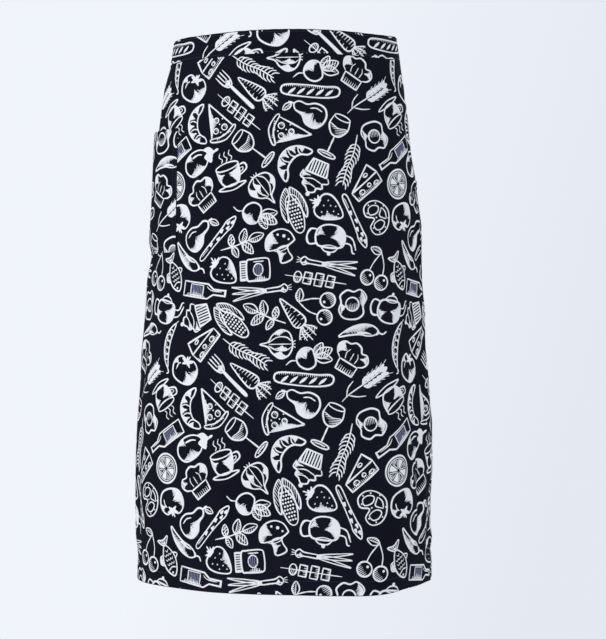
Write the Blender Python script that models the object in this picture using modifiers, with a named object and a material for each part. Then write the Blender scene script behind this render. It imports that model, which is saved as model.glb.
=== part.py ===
"""A half-length chef apron, empty but in the form it takes round a wearer's waist and legs.

The front faces -Y, +Z is up and the origin is the middle of the waist at the top of the waistband.
A place on the cloth is given by two lengths: along, round the waist from the centre front, with plus
towards +X, and down, from the top edge of the waistband. The panel and the waistband are cut to
PANEL_WIDTH, so their side edges stand open at the back, where the ties meet in a bow.
"""

import math

import bmesh
import bpy
import numpy as np

# Driving sizes in metres
DROP_LENGTH = 0.750
PANEL_WIDTH = 0.740
WAIST_HALF_WIDTH = 0.157
WAIST_HALF_DEPTH = 0.105
HEM_HALF_WIDTH = 0.205
HEM_HALF_DEPTH = 0.165
CLOTH_WALL = 0.0016
BAND_HEIGHT = 0.032
BAND_WALL = 0.0028
FOLD_DEPTH = 0.010
POCKET_WIDTH = 0.150
POCKET_HEIGHT = 0.171
POCKET_DOWN = 0.126
POCKET_FROM_CENTRE = 0.145
POCKET_STAND = 0.0065
POCKET_TURN = 0.018
TIE_WIDTH = 0.025
TIE_WALL = 0.0016
KNOT_WIDTH = 0.026
KNOT_HEIGHT = 0.030
KNOT_DEPTH = 0.015
LOOP_LENGTH = 0.095
LOOP_OPENING = 0.014
END_LENGTH = 0.260
CLEARANCE = 0.0003
SEWN_GAP = 0.0006

# Shares of the named sizes. A fold rises over the first of these shares of its length and ends over
# the second. The pocket still stands out by the third share of POCKET_STAND above its bottom seam.
FOLD_RISE = 0.4
FOLD_FALL = 0.2
POCKET_LOW = 0.7
KNOT_ROUND = 0.3

# Mesh steps
RING_STEPS = 720
PANEL_COLUMNS = 64
PANEL_ROWS = 24
POCKET_COLUMNS = 16
POCKET_ROWS = 14
TAPE_STEPS = 20
LOOP_STEPS = 30
SLOPE_REACH = 0.004

# Sections of the worn form, from the waistband's top to the hem. down is a share of DROP_LENGTH. breadth,
# front and back are how far each half size has gone from the waist's to the hem's. left and right
# say how square the section's corners are on each side: 2 is an ellipse, more is squarer. sway is
# how far the section's middle stands towards -X, as a share of HEM_HALF_WIDTH.
SECTIONS = (
    # down, breadth, front, back, left, right, sway
    (0.000, 0.00, 0.00, 0.00, 2.00, 2.00, 0.010),
    (0.043, 0.10, 0.10, 0.08, 2.00, 2.02, 0.010),
    (0.175, 0.38, 0.34, 0.40, 2.02, 2.08, 0.010),
    (0.350, 0.65, 0.58, 0.75, 2.00, 2.20, 0.004),
    (0.540, 0.81, 0.78, 0.85, 1.95, 2.32, 0.020),
    (0.730, 0.99, 0.92, 0.92, 1.90, 2.38, 0.026),
    (1.000, 1.00, 1.00, 1.00, 1.90, 2.42, 0.026),
)

# Soft folds that run down the panel. along is a share of half of PANEL_WIDTH, from the centre
# front. out is a share of FOLD_DEPTH, plus for a ridge. spread is the fold's half breadth as a
# share of half of PANEL_WIDTH. top and end are shares of DROP_LENGTH, and drift is how far it moves along
# by its end, as along is measured.
FOLDS = (
    # along, out, spread, top, end, drift
    (0.06, -0.35, 0.15, 0.35, 1.10, 0.02),
    (0.44, 0.55, 0.10, 0.38, 1.10, 0.03),
    (0.60, -0.45, 0.08, 0.20, 0.90, 0.05),
    (0.76, 0.50, 0.08, 0.30, 1.10, 0.04),
    (-0.30, -0.25, 0.09, 0.45, 1.10, -0.02),
    (-0.50, 0.30, 0.12, 0.45, 1.10, -0.02),
    (-0.80, -0.50, 0.08, 0.30, 1.10, -0.03),
    (-0.95, 0.80, 0.07, 0.25, 1.10, 0.00),
    (0.95, 0.80, 0.07, 0.25, 1.10, 0.00),
)

# One loop of the bow, round from the knot and back, as the tape's middle line. out is a share of
# LOOP_LENGTH, lift a share of LOOP_OPENING and width a share of TIE_WIDTH.
LOOP = (
    # out, lift, width
    (0.00, 0.75, 0.55),
    (0.18, 1.00, 0.80),
    (0.45, 1.30, 1.00),
    (0.75, 1.25, 1.00),
    (0.96, 1.00, 1.00),
    (1.00, 0.75, 1.00),
    (0.94, 0.50, 1.00),
    (0.72, 0.36, 1.00),
    (0.42, 0.30, 1.00),
    (0.16, 0.32, 0.80),
    (0.00, 0.36, 0.55),
)
LOOP_SLOPE = math.radians(28)

# One hanging end of the ties. down is a share of END_LENGTH, side a share of TIE_WIDTH away from
# the middle, off a share of KNOT_DEPTH and width a share of TIE_WIDTH.
TIE_END = (
    # down, side, off, width
    (0.00, 0.30, 0.10, 0.55),
    (0.08, 0.42, 0.12, 0.80),
    (0.25, 0.70, 0.40, 1.00),
    (0.50, 1.05, 1.00, 1.00),
    (0.75, 1.30, 1.45, 1.00),
    (1.00, 1.45, 1.60, 1.00),
)


def smooth(rows, at):
    """Values of every column at a place of the first one, on a smooth curve through the rows."""
    table = np.array(rows, float)
    x, values = table[:, 0], table[:, 1:]
    slopes = np.gradient(values, x, axis=0)
    at = np.clip(np.atleast_1d(at), x[0], x[-1])
    i = np.clip(np.searchsorted(x, at, side="right") - 1, 0, len(x) - 2)
    step = (x[i + 1] - x[i])[:, None]
    u = ((at - x[i])[:, None]) / step
    start = values[i] * (1 + 2 * u) * (1 - u) ** 2 + slopes[i] * step * u * (1 - u) ** 2
    finish = values[i + 1] * (3 - 2 * u) * u**2 - slopes[i + 1] * step * (1 - u) * u**2
    return start + finish


def ease(u):
    """0 to 1 with a level start and finish."""
    u = np.clip(u, 0, 1)
    return u * u * (3 - 2 * u)


def ring(down):
    """Points of the whole section at one height, and the length along it from the centre front."""
    breadth, front, back, left, right, sway = smooth(SECTIONS, down / DROP_LENGTH)[0]
    half_width = WAIST_HALF_WIDTH + breadth * (HEM_HALF_WIDTH - WAIST_HALF_WIDTH)
    front_depth = WAIST_HALF_DEPTH + front * (HEM_HALF_DEPTH - WAIST_HALF_DEPTH)
    back_depth = WAIST_HALF_DEPTH + back * (HEM_HALF_DEPTH - WAIST_HALF_DEPTH)
    turn = np.linspace(-math.pi, math.pi, RING_STEPS + 1)
    depth = np.where(np.cos(turn) > 0, front_depth, back_depth)
    square = np.where(turn < 0, left, right)
    reach = np.abs(np.cos(turn) / depth) ** square + np.abs(np.sin(turn) / half_width) ** square
    radius = reach ** (-1 / square)
    middle = -sway * HEM_HALF_WIDTH
    points = np.stack([middle + radius * np.sin(turn), -radius * np.cos(turn)], axis=1)
    steps = np.linalg.norm(np.diff(points, axis=0), axis=1)
    length = np.concatenate([[0], np.cumsum(steps)])
    return points, length - length[RING_STEPS // 2]


def folds(along, down):
    """How far the cloth stands out from the plain section."""
    half = PANEL_WIDTH / 2
    total = np.zeros_like(along)
    for middle, out, spread, top, end, drift in FOLDS:
        part = (down / DROP_LENGTH - top) / (end - top)
        centre = half * (middle + drift * part)
        rise = ease(part / FOLD_RISE) * ease((1 - part) / FOLD_FALL)
        total += out * FOLD_DEPTH * rise * np.exp(-(((along - centre) / (half * spread)) ** 2))
    return total


def cloth(along, down, off=0.0):
    """Points of the cloth's outer face at one height, off metres out from it, as rows of x, y, z."""
    points, length = ring(down)

    def on_ring(at):
        return np.stack([np.interp(at, length, points[:, i]) for i in (0, 1)], axis=1)

    run = on_ring(along + SLOPE_REACH) - on_ring(along - SLOPE_REACH)
    run /= np.linalg.norm(run, axis=1)[:, None]
    outward = np.stack([run[:, 1], -run[:, 0]], axis=1)
    place = on_ring(along) + outward * (folds(along, down) + off)[:, None]
    return np.column_stack([place, np.full(len(along), -down)])


def sheet(name, grid, wall, offset, material, collection):
    """A closed piece of cloth from rows of points that run in +along order, from top to bottom.

    With an offset of -1 the wall lies inside the points, with 1 outside them and with 0 half and half.
    """
    rows, columns = len(grid), len(grid[0])
    vertices = [tuple(point) for row in grid for point in row]
    faces = [
        (i * columns + j, (i + 1) * columns + j, (i + 1) * columns + j + 1, i * columns + j + 1)
        for i in range(rows - 1)
        for j in range(columns - 1)
    ]
    mesh = bpy.data.meshes.new(name)
    mesh.from_pydata(vertices, [], faces)
    mesh.update()
    mesh.shade_smooth()
    piece = bpy.data.objects.new(name, mesh)
    collection.objects.link(piece)
    solid = piece.modifiers.new("Wall", "SOLIDIFY")
    solid.thickness = wall
    solid.offset = offset
    solid.use_even_offset = True
    mesh.materials.append(material)
    return piece


def fabric(name, colour, roughness):
    """A cloth material in one linear colour."""
    material = bpy.data.materials.new(name)
    material.use_nodes = True
    shader = material.node_tree.nodes["Principled BSDF"]
    shader.inputs["Base Color"].default_value = (*colour, 1.0)
    shader.inputs["Roughness"].default_value = roughness
    shader.inputs["Metallic"].default_value = 0.0
    return material


def make_panel(material, collection):
    """The skirt of the apron, from the waistband's lower edge to the hem."""
    along = np.linspace(-PANEL_WIDTH / 2, PANEL_WIDTH / 2, PANEL_COLUMNS + 1)
    top = BAND_HEIGHT + CLEARANCE
    grid = [cloth(along, down) for down in np.linspace(top, DROP_LENGTH, PANEL_ROWS + 1)]
    return sheet("apron_panel", grid, CLOTH_WALL, -1, material, collection)


def make_band(material, collection):
    """The waistband, a doubled strip that stands proud of the panel by the extra of its wall."""
    along = np.linspace(-PANEL_WIDTH / 2, PANEL_WIDTH / 2, PANEL_COLUMNS + 1)
    proud = BAND_WALL - CLOTH_WALL
    grid = [cloth(along, down, proud) for down in np.linspace(0, BAND_HEIGHT, 3)]
    return sheet("waistband", grid, BAND_WALL, -1, material, collection)


def make_pocket(material, collection):
    """The patch pocket on the wearer's right hip, sewn down at its sides and bottom."""
    across = np.linspace(0, POCKET_WIDTH, POCKET_COLUMNS + 1)
    nearest_side = np.minimum(across, POCKET_WIDTH - across)
    belly = ease(nearest_side / (2 * POCKET_TURN))
    grid = []
    for down in np.linspace(0, POCKET_HEIGHT, POCKET_ROWS + 1):
        slack = POCKET_LOW + (1 - POCKET_LOW) * (1 - down / POCKET_HEIGHT)
        stand = POCKET_STAND * slack * belly * ease((POCKET_HEIGHT - down) / POCKET_TURN)
        along = across - POCKET_WIDTH - POCKET_FROM_CENTRE
        grid.append(cloth(along, POCKET_DOWN + down, SEWN_GAP + stand))
    return sheet("hip_pocket", grid, CLOTH_WALL, 1, material, collection)


def make_tie(side, material, collection):
    """The tape that runs from one end of the waistband round to the knot, its width upright."""
    margin = (BAND_HEIGHT - TIE_WIDTH) / 2
    grid = []
    for down in np.linspace(margin, BAND_HEIGHT - margin, 3):
        _, length = ring(down)
        finish = length[-1] - KNOT_WIDTH / 2 - CLEARANCE
        along = np.linspace(PANEL_WIDTH / 2 + CLEARANCE, finish, TAPE_STEPS + 1)
        if side < 0:
            along = -along[::-1]
        grid.append(cloth(along, down))
    name = "tie_left" if side > 0 else "tie_right"
    return sheet(name, grid, TIE_WALL, -1, material, collection)


def knot_middle():
    """The middle of the knot, whose inner face lies level with the tapes' inner faces."""
    points, _ = ring(BAND_HEIGHT / 2)
    middle, back = points[-1]
    return np.array([middle, back - TIE_WALL + KNOT_DEPTH / 2, -BAND_HEIGHT / 2])


def make_knot(material, collection):
    """The knot of the bow, a soft block that the loops and the ends come out of."""
    mesh = bpy.data.meshes.new("bow_knot")
    shape = bmesh.new()
    bmesh.ops.create_cube(shape, size=1)
    bmesh.ops.scale(shape, vec=(KNOT_WIDTH, KNOT_DEPTH, KNOT_HEIGHT), verts=shape.verts)
    shape.to_mesh(mesh)
    shape.free()
    mesh.materials.append(material)
    knot = bpy.data.objects.new("bow_knot", mesh)
    collection.objects.link(knot)
    knot.location = knot_middle()
    rounding = knot.modifiers.new("Rounding", "BEVEL")
    rounding.width = min(KNOT_WIDTH, KNOT_DEPTH, KNOT_HEIGHT) * KNOT_ROUND
    rounding.segments = 3
    mesh.shade_smooth()
    return knot


def through(rows, sizes, steps):
    """Rows on a smooth curve through those of a table, whose first two columns are shares of sizes."""
    table = np.array(rows, float)
    gaps = np.linalg.norm(np.diff(table[:, :2] * sizes, axis=0), axis=1)
    place = np.concatenate([[0], np.cumsum(gaps)])
    return smooth(np.column_stack([place, table]), np.linspace(0, place[-1], steps + 1))


def make_loop(side, material, collection):
    """One loop of the bow, a tape that leaves the knot's side, turns over and comes back."""
    middle = knot_middle()
    outward = np.array([side * math.cos(LOOP_SLOPE), 0, -math.sin(LOOP_SLOPE)])
    upward = np.array([side * math.sin(LOOP_SLOPE), 0, math.cos(LOOP_SLOPE)])
    corner = LOOP[0][2] * TIE_WIDTH / 2 * math.sin(LOOP_SLOPE)
    start = middle + np.array([side * (KNOT_WIDTH / 2 + corner + CLEARANCE), 0, 0])
    start[1] -= KNOT_DEPTH / 2 - TIE_WALL - CLEARANCE
    rows = []
    for out, lift, width in through(LOOP, (LOOP_LENGTH, LOOP_OPENING), LOOP_STEPS):
        line = start + outward * (out * LOOP_LENGTH)
        line[1] += lift * LOOP_OPENING
        rows.append([line + upward * (width * TIE_WIDTH * share) for share in (0.5, 0, -0.5)])
    grid = [[row[i] for row in rows] for i in range(3)]
    name = "bow_loop_left" if side > 0 else "bow_loop_right"
    return sheet(name, grid if side > 0 else grid[::-1], TIE_WALL, 0, material, collection)


def make_end(side, material, collection):
    """One hanging end of the ties, from under the knot."""
    middle = knot_middle()
    top = middle[2] - KNOT_HEIGHT / 2 - CLEARANCE
    rows = []
    for down, place, off, width in through(TIE_END, (END_LENGTH, TIE_WIDTH), TAPE_STEPS):
        line = middle + np.array([side * place * TIE_WIDTH, off * KNOT_DEPTH - KNOT_DEPTH / 2, 0])
        line[2] = top - down * END_LENGTH
        across = np.array([1, 0, 0]) * (width * TIE_WIDTH / 2)
        rows.append([line - across, line, line + across])
    name = "tie_end_left" if side > 0 else "tie_end_right"
    return sheet(name, rows, TIE_WALL, 0, material, collection)


def main():
    """Empties the scene, then makes every piece of the apron."""
    for old in list(bpy.data.objects):
        bpy.data.objects.remove(old)
    apron = bpy.data.collections.new("chef_apron")
    bpy.context.scene.collection.children.link(apron)
    printed = fabric("printed cotton", (0.016, 0.018, 0.026), 0.85)
    plain = fabric("black cotton tape", (0.012, 0.013, 0.018), 0.88)
    make_panel(printed, apron)
    make_band(printed, apron)
    make_pocket(printed, apron)
    make_knot(plain, apron)
    for side in (1, -1):
        make_tie(side, plain, apron)
        make_loop(side, plain, apron)
        make_end(side, plain, apron)


main()
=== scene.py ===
"""The looks of a half-length chef apron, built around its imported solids.

Metres, +Z up, the front faces -Y. A place on the cloth is two lengths: along, round the waist from the
centre front with plus towards +X, and down, from the top edge of the waistband. The worn form repeats
the tables of the solids, and finer folds are added to it. The print is drawn in millimetres, motif by
motif, laid over a repeat and put on the cloth as thin patches of ink.
"""

import math

import bpy
import numpy as np
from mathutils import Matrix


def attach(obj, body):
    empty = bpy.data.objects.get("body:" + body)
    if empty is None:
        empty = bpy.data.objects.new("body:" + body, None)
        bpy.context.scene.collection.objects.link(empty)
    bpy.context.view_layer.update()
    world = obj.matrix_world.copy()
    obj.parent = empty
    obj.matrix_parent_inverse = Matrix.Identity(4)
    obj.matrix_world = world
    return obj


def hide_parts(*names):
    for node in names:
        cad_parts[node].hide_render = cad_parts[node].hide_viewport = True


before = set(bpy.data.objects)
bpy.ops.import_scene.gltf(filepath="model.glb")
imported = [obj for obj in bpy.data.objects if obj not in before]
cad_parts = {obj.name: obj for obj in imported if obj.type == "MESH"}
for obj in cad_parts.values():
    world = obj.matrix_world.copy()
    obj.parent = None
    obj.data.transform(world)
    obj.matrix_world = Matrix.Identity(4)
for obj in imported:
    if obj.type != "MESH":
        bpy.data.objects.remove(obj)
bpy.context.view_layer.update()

TURN = 2 * math.pi

# Sizes of the solids
DROP = 0.750
PANEL_WIDTH = 0.740
WAIST_HALF_WIDTH = 0.157
WAIST_HALF_DEPTH = 0.105
HEM_HALF_WIDTH = 0.205
HEM_HALF_DEPTH = 0.165
BAND_HEIGHT = 0.032
BAND_WALL = 0.0028
SOLID_WALL = 0.0016
FOLD_DEPTH = 0.010
POCKET_WIDTH = 0.150
POCKET_HEIGHT = 0.171
POCKET_DOWN = 0.126
POCKET_FROM_CENTRE = 0.145
POCKET_STAND = 0.0050
POCKET_TURN = 0.018
CLEARANCE = 0.0003

# Finer sizes of the real cloth
CLOTH_WALL = 0.0009
CLOTH_STEP = 0.004
HEM_TURN = 0.020
SIDE_TURN = 0.012
HEM_WALL = 0.0022
LAP_STEP = 0.0012
INK_LIFT = 0.00028
INK_LAYER = 0.000006

# Sections of the worn form. down is a share of DROP. breadth, front and back are how far each half
# size has gone from the waist's to the hem's. left and right say how square the section is on each
# side, and sway how far its middle stands towards -X as a share of HEM_HALF_WIDTH.
SECTIONS = (
    # down, breadth, front, back, left, right, sway
    (0.000, 0.00, 0.00, 0.00, 2.00, 2.00, 0.010),
    (0.043, 0.10, 0.10, 0.08, 2.00, 2.02, 0.010),
    (0.175, 0.38, 0.34, 0.40, 2.02, 2.08, 0.010),
    (0.350, 0.65, 0.58, 0.75, 2.00, 2.20, 0.004),
    (0.540, 0.81, 0.78, 0.85, 1.95, 2.32, 0.020),
    (0.730, 0.99, 0.92, 0.92, 1.90, 2.38, 0.026),
    (1.000, 1.00, 1.00, 1.00, 1.90, 2.42, 0.026),
)

# Soft folds that run down the panel, as in the solids.
FOLDS = (
    # along, out, spread, top, end, drift
    (0.06, -0.35, 0.15, 0.35, 1.10, 0.02),
    (0.44, 0.55, 0.10, 0.38, 1.10, 0.03),
    (0.60, -0.45, 0.08, 0.20, 0.90, 0.05),
    (0.76, 0.50, 0.08, 0.30, 1.10, 0.04),
    (-0.30, -0.25, 0.09, 0.45, 1.10, -0.02),
    (-0.50, 0.30, 0.12, 0.45, 1.10, -0.02),
    (-0.80, -0.50, 0.08, 0.30, 1.10, -0.03),
    (-0.95, 0.80, 0.07, 0.25, 1.10, 0.00),
    (0.95, 0.80, 0.07, 0.25, 1.10, 0.00),
)
FOLD_RISE = 0.4
FOLD_FALL = 0.2
RING_STEPS = 720
SLOPE_REACH = 0.004

# Finer creases of the worn cloth, each a ridge (plus) or a valley (minus) on a line over the cloth.
# All sizes are in metres. Each crease rises and falls over CREASE_END of its length.
CREASES = (
    # from along, from down, to along, to down, half breadth, out
    (0.244, 0.215, 0.262, 0.335, 0.0045, 0.0030),
    (0.254, 0.215, 0.273, 0.335, 0.0050, -0.0042),
    (0.213, 0.199, 0.268, 0.206, 0.0075, 0.0030),
    (0.222, 0.226, 0.262, 0.222, 0.0060, -0.0020),
    (0.238, 0.455, 0.272, 0.560, 0.0055, 0.0026),
    (0.249, 0.455, 0.285, 0.555, 0.0055, -0.0038),
    (0.245, 0.540, 0.236, 0.725, 0.0060, -0.0030),
    (0.262, 0.560, 0.252, 0.735, 0.0080, 0.0024),
    (0.268, 0.640, 0.325, 0.610, 0.0090, -0.0030),
    (0.262, 0.700, 0.330, 0.680, 0.0090, 0.0026),
    (0.285, 0.330, 0.262, 0.440, 0.0070, -0.0026),
    (0.215, 0.100, 0.228, 0.180, 0.0060, -0.0018),
    (-0.205, 0.050, -0.222, 0.112, 0.0060, -0.0022),
    (-0.212, 0.330, -0.232, 0.520, 0.0090, -0.0024),
    (-0.230, 0.560, -0.222, 0.720, 0.0090, -0.0022),
    (-0.060, 0.300, -0.085, 0.720, 0.0220, -0.0022),
    (0.040, 0.360, 0.062, 0.740, 0.0260, 0.0024),
    (0.140, 0.250, 0.168, 0.700, 0.0200, -0.0024),
)
CREASE_END = 0.25

# Swells of the two sides, where the cloth turns away from the front: along and out of each, by down.
SWELLS = (
    # down, left at, left out, right at, right out
    (0.000, 0.190, -0.0005, -0.185, 0.0000),
    (0.030, 0.215, -0.0022, -0.200, 0.0010),
    (0.065, 0.228, -0.0005, -0.205, 0.0062),
    (0.110, 0.240, 0.0005, -0.218, 0.0056),
    (0.160, 0.257, -0.0008, -0.226, 0.0032),
    (0.190, 0.268, 0.0002, -0.226, 0.0026),
    (0.225, 0.276, 0.0000, -0.228, 0.0016),
    (0.262, 0.282, 0.0010, -0.232, 0.0010),
    (0.295, 0.287, -0.0020, -0.243, -0.0010),
    (0.330, 0.291, -0.0036, -0.246, 0.0040),
    (0.380, 0.292, -0.0022, -0.250, 0.0032),
    (0.430, 0.306, -0.0058, -0.248, 0.0040),
    (0.480, 0.335, -0.0050, -0.254, 0.0034),
    (0.530, 0.342, -0.0012, -0.257, 0.0054),
    (0.600, 0.345, -0.0028, -0.259, 0.0058),
    (0.650, 0.346, -0.0070, -0.257, 0.0060),
    (0.690, 0.346, -0.0082, -0.253, 0.0056),
    (0.720, 0.346, -0.0048, -0.254, 0.0018),
    (0.750, 0.345, -0.0020, -0.255, 0.0030),
)
SWELL_BREADTH = 0.038

# How much higher or lower the cloth hangs than level, by along.
HANG = (
    # along, up
    (-0.370, 0.0000),
    (-0.226, -0.0008),
    (-0.184, 0.0002),
    (-0.150, 0.0004),
    (-0.108, 0.0002),
    (-0.019, 0.0011),
    (0.033, 0.0011),
    (0.102, -0.0003),
    (0.151, -0.0010),
    (0.176, 0.0002),
    (0.196, 0.0021),
    (0.244, 0.0033),
    (0.269, 0.0034),
    (0.330, -0.0003),
    (0.370, 0.0000),
)

# Slow unevenness of the cloth, as waves across it.
WAVES = (
    # waves per metre along, per metre down, height, phase
    (5.3, 1.7, 0.0007, 0.4),
    (-3.9, 2.6, 0.0006, 2.1),
    (9.1, -2.2, 0.0004, 4.0),
    (13.7, 1.1, 0.0003, 1.2),
    (-7.3, 5.9, 0.0003, 5.3),
)
PUCKER_PITCH = 0.017
PUCKER_DEPTH = 0.0005
PUCKER_REACH = 0.050
EDGE_PITCH = 0.023
EDGE_DEPTH = 0.0005
HEM_REACH = 0.010
SIDE_REACH = 0.008


def smooth(rows, at):
    """Values of every column at a place of the first one, on a smooth curve through the rows."""
    table = np.array(rows, float)
    x, values = table[:, 0], table[:, 1:]
    slopes = np.gradient(values, x, axis=0)
    at = np.clip(np.atleast_1d(at), x[0], x[-1])
    i = np.clip(np.searchsorted(x, at, side="right") - 1, 0, len(x) - 2)
    step = (x[i + 1] - x[i])[:, None]
    u = ((at - x[i])[:, None]) / step
    start = values[i] * (1 + 2 * u) * (1 - u) ** 2 + slopes[i] * step * u * (1 - u) ** 2
    finish = values[i + 1] * (3 - 2 * u) * u**2 - slopes[i + 1] * step * (1 - u) * u**2
    return start + finish


def ease(u):
    """0 to 1 with a level start and finish."""
    u = np.clip(u, 0, 1)
    return u * u * (3 - 2 * u)


def bell(distance, breadth):
    """1 at no distance, falling off to both sides."""
    return np.exp(-((distance / breadth) ** 2))


def units(vectors):
    """The same directions with length 1."""
    return vectors / np.linalg.norm(vectors, axis=-1)[..., None]


def lengths(points):
    """How far each point is along the line through them all."""
    return np.concatenate([[0], np.cumsum(np.linalg.norm(np.diff(points, axis=0), axis=1))])


def on_line(at, length, points):
    """Places at lengths along a line of points in the plane."""
    return np.stack([np.interp(at, length, points[:, i]) for i in (0, 1)], axis=1)


def ring(down):
    """Points of the whole section at one height, and the length along it from the centre front."""
    breadth, front, back, left, right, sway = smooth(SECTIONS, down / DROP)[0]
    half_width = WAIST_HALF_WIDTH + breadth * (HEM_HALF_WIDTH - WAIST_HALF_WIDTH)
    turn = np.linspace(-math.pi, math.pi, RING_STEPS + 1)
    depth = WAIST_HALF_DEPTH + np.where(np.cos(turn) > 0, front, back) * (HEM_HALF_DEPTH - WAIST_HALF_DEPTH)
    square = np.where(turn < 0, left, right)
    reach = np.abs(np.cos(turn) / depth) ** square + np.abs(np.sin(turn) / half_width) ** square
    radius = reach ** (-1 / square)
    points = np.stack([radius * np.sin(turn) - sway * HEM_HALF_WIDTH, -radius * np.cos(turn)], axis=1)
    length = lengths(points)
    return points, length - length[RING_STEPS // 2]


def folds(along, down):
    """How far the cloth stands out from the plain section."""
    half = PANEL_WIDTH / 2
    total = np.zeros_like(along)
    for middle, out, spread, top, end, drift in FOLDS:
        part = (down / DROP - top) / (end - top)
        rise = ease(part / FOLD_RISE) * ease((1 - part) / FOLD_FALL)
        total += out * FOLD_DEPTH * rise * bell(along - half * (middle + drift * part), half * spread)
    return total


def cloth(along, down, off=0.0):
    """Points of the cloth's outer face at one height, off metres out from it, as rows of x, y, z."""
    points, length = ring(down)
    ahead, behind = (on_line(along + reach, length, points) for reach in (SLOPE_REACH, -SLOPE_REACH))
    run = units(ahead - behind)
    outward = np.stack([run[:, 1], -run[:, 0]], axis=1)
    place = on_line(along, length, points) + outward * (folds(along, down) + off)[:, None]
    return np.column_stack([place, np.full(len(along), -down)])


def creases(along, down):
    """Finer relief of the worn cloth, for arrays of places."""
    total = np.zeros(np.broadcast(along, down).shape)
    for a0, d0, a1, d1, breadth, out in CREASES:
        run = np.array([a1 - a0, d1 - d0])
        length = np.hypot(*run)
        part = ((along - a0) * run[0] + (down - d0) * run[1]) / length**2
        aside = ((along - a0) * run[1] - (down - d0) * run[0]) / length
        total = total + out * ease(part / CREASE_END) * ease((1 - part) / CREASE_END) * bell(aside, breadth)
    table = np.array(SWELLS).T
    for k in (1, 3):
        at, out = (np.interp(down, table[0], column) for column in table[k:k + 2])
        total = total + out * bell(along - at, SWELL_BREADTH)
    for across, downward, height, phase in WAVES:
        total = total + height * np.sin(TURN * (across * along + downward * down) + phase)
    below = np.clip((down - BAND_HEIGHT) / PUCKER_REACH, 0, 1)
    beat = np.sin(TURN * along / PUCKER_PITCH + 3 * np.sin(along * 31))
    total = total + PUCKER_DEPTH * beat * np.exp(-4 * below) * ease(8 * below)
    near_hem = np.exp(-np.abs(down - (DROP - HEM_TURN)) / HEM_REACH)
    total = total + EDGE_DEPTH * near_hem * np.sin(TURN * along / EDGE_PITCH + 2 * np.sin(along * 19))
    near_side = np.exp(-np.abs(np.abs(along) - (PANEL_WIDTH / 2 - SIDE_TURN)) / SIDE_REACH)
    return total + EDGE_DEPTH * near_side * np.sin(TURN * down / EDGE_PITCH)


class Surface:
    """A grid of points over a stretch of cloth, its outer face, for laying things on it."""

    def __init__(self, alongs, downs, points):
        self.alongs, self.downs, self.points = alongs, downs, points
        self.normals = units(np.cross(np.gradient(points, axis=0), np.gradient(points, axis=1)))

    def at(self, along, down, lift):
        """Places over the cloth, lift metres out from its outer face."""
        (j, u), (i, v) = self.cell(self.alongs, along), self.cell(self.downs, down)
        u, v = u[:, None], v[:, None]
        point, normal = (
            (grid[i, j] * (1 - u) + grid[i, j + 1] * u) * (1 - v)
            + (grid[i + 1, j] * (1 - u) + grid[i + 1, j + 1] * u) * v
            for grid in (self.points, self.normals))
        return point + units(normal) * lift[:, None]

    @staticmethod
    def cell(marks, value):
        i = np.clip(np.searchsorted(marks, value, side="right") - 1, 0, len(marks) - 2)
        return i, (value - marks[i]) / (marks[i + 1] - marks[i])


def worn(alongs, downs, off):
    """The surface of cloth worn round the body, off metres out from the plain form at each place."""
    total = off(*np.meshgrid(alongs, downs))
    points = np.array([cloth(alongs, down, total[i]) for i, down in enumerate(downs)])
    points[:, :, 2] += smooth(HANG, alongs)[:, 0]
    return Surface(alongs, downs, points)


def make_piece(name, points, faces, flat, materials, node=None, sides=None):
    """A piece with its flat cloth places, in metres, as its UV map, for a node if it stands for one.

    sides says which material each face has, where they are several.
    """
    mesh = bpy.data.meshes.new(name)
    mesh.from_pydata([tuple(p) for p in points], [], faces)
    layer = mesh.uv_layers.new(name="flat")
    loops = np.zeros(len(mesh.loops), np.int32)
    mesh.loops.foreach_get("vertex_index", loops)
    layer.data.foreach_set("uv", np.asarray(flat, np.float32)[loops].ravel())
    for material in materials:
        mesh.materials.append(material)
    if sides is not None:
        mesh.polygons.foreach_set("material_index", np.asarray(sides, np.int32))
    mesh.shade_smooth()
    mesh.validate()
    mesh.update()
    piece = bpy.data.objects.new(name, mesh)
    bpy.context.scene.collection.objects.link(piece)
    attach(piece, "root")
    if node:
        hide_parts(node)
    return piece


RIM = np.radians([40, 90, 140])


def walled(name, node, surface, wall, materials):
    """A closed sheet for a node: an outer grid, one wall metres behind it, and half-round edges.

    The last material is the inner side's, and the first one the rest's.
    """
    outer, normals = surface.points, surface.normals
    rows, columns = outer.shape[:2]
    wall = np.broadcast_to(wall, (rows, columns))[:, :, None]
    inner = outer - normals * wall
    number = np.arange(rows * columns).reshape(rows, columns)
    front = np.stack([number[:-1, :-1], number[1:, :-1], number[1:, 1:], number[:-1, 1:]], axis=-1)
    front = front.reshape(-1, 4)
    behind = front[:, [0, 3, 2, 1]] + number.size
    border = np.concatenate([number[:, 0], number[-1, 1:], number[-2::-1, -1], number[0, -2:0:-1]])
    i, j = np.divmod(border, columns)
    normal = normals[i, j]
    out = outer[i, j] - outer[np.clip(i, 1, rows - 2), np.clip(j, 1, columns - 2)]
    out = units(out - normal * (out * normal).sum(1)[:, None])
    middle, half = (outer[i, j] + inner[i, j]) / 2, wall[i, j] / 2
    rim = [middle + half * (math.cos(angle) * normal + math.sin(angle) * out) for angle in RIM]
    steps_round = [2 * number.size + k * len(border) + np.arange(len(border)) for k in range(len(RIM))]
    chain = np.array([border, *steps_round, number.size + border])
    following = np.roll(chain, -1, axis=1)
    edge = np.stack([chain[:-1], chain[1:], following[1:], following[:-1]], axis=-1).reshape(-1, 4)
    flat = np.stack(np.meshgrid(surface.alongs, surface.downs), axis=2)
    flats = np.concatenate([*[flat.reshape(-1, 2)] * 2, *[flat[i, j]] * len(RIM)])
    points = np.concatenate([outer.reshape(-1, 3), inner.reshape(-1, 3), *rim])
    sides = np.repeat([0, len(materials) - 1, 0], [len(front), len(behind), len(edge)])
    faces = np.concatenate([front, behind, edge]).tolist()
    return make_piece(name, points, faces, flats, materials, node, sides)


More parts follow.
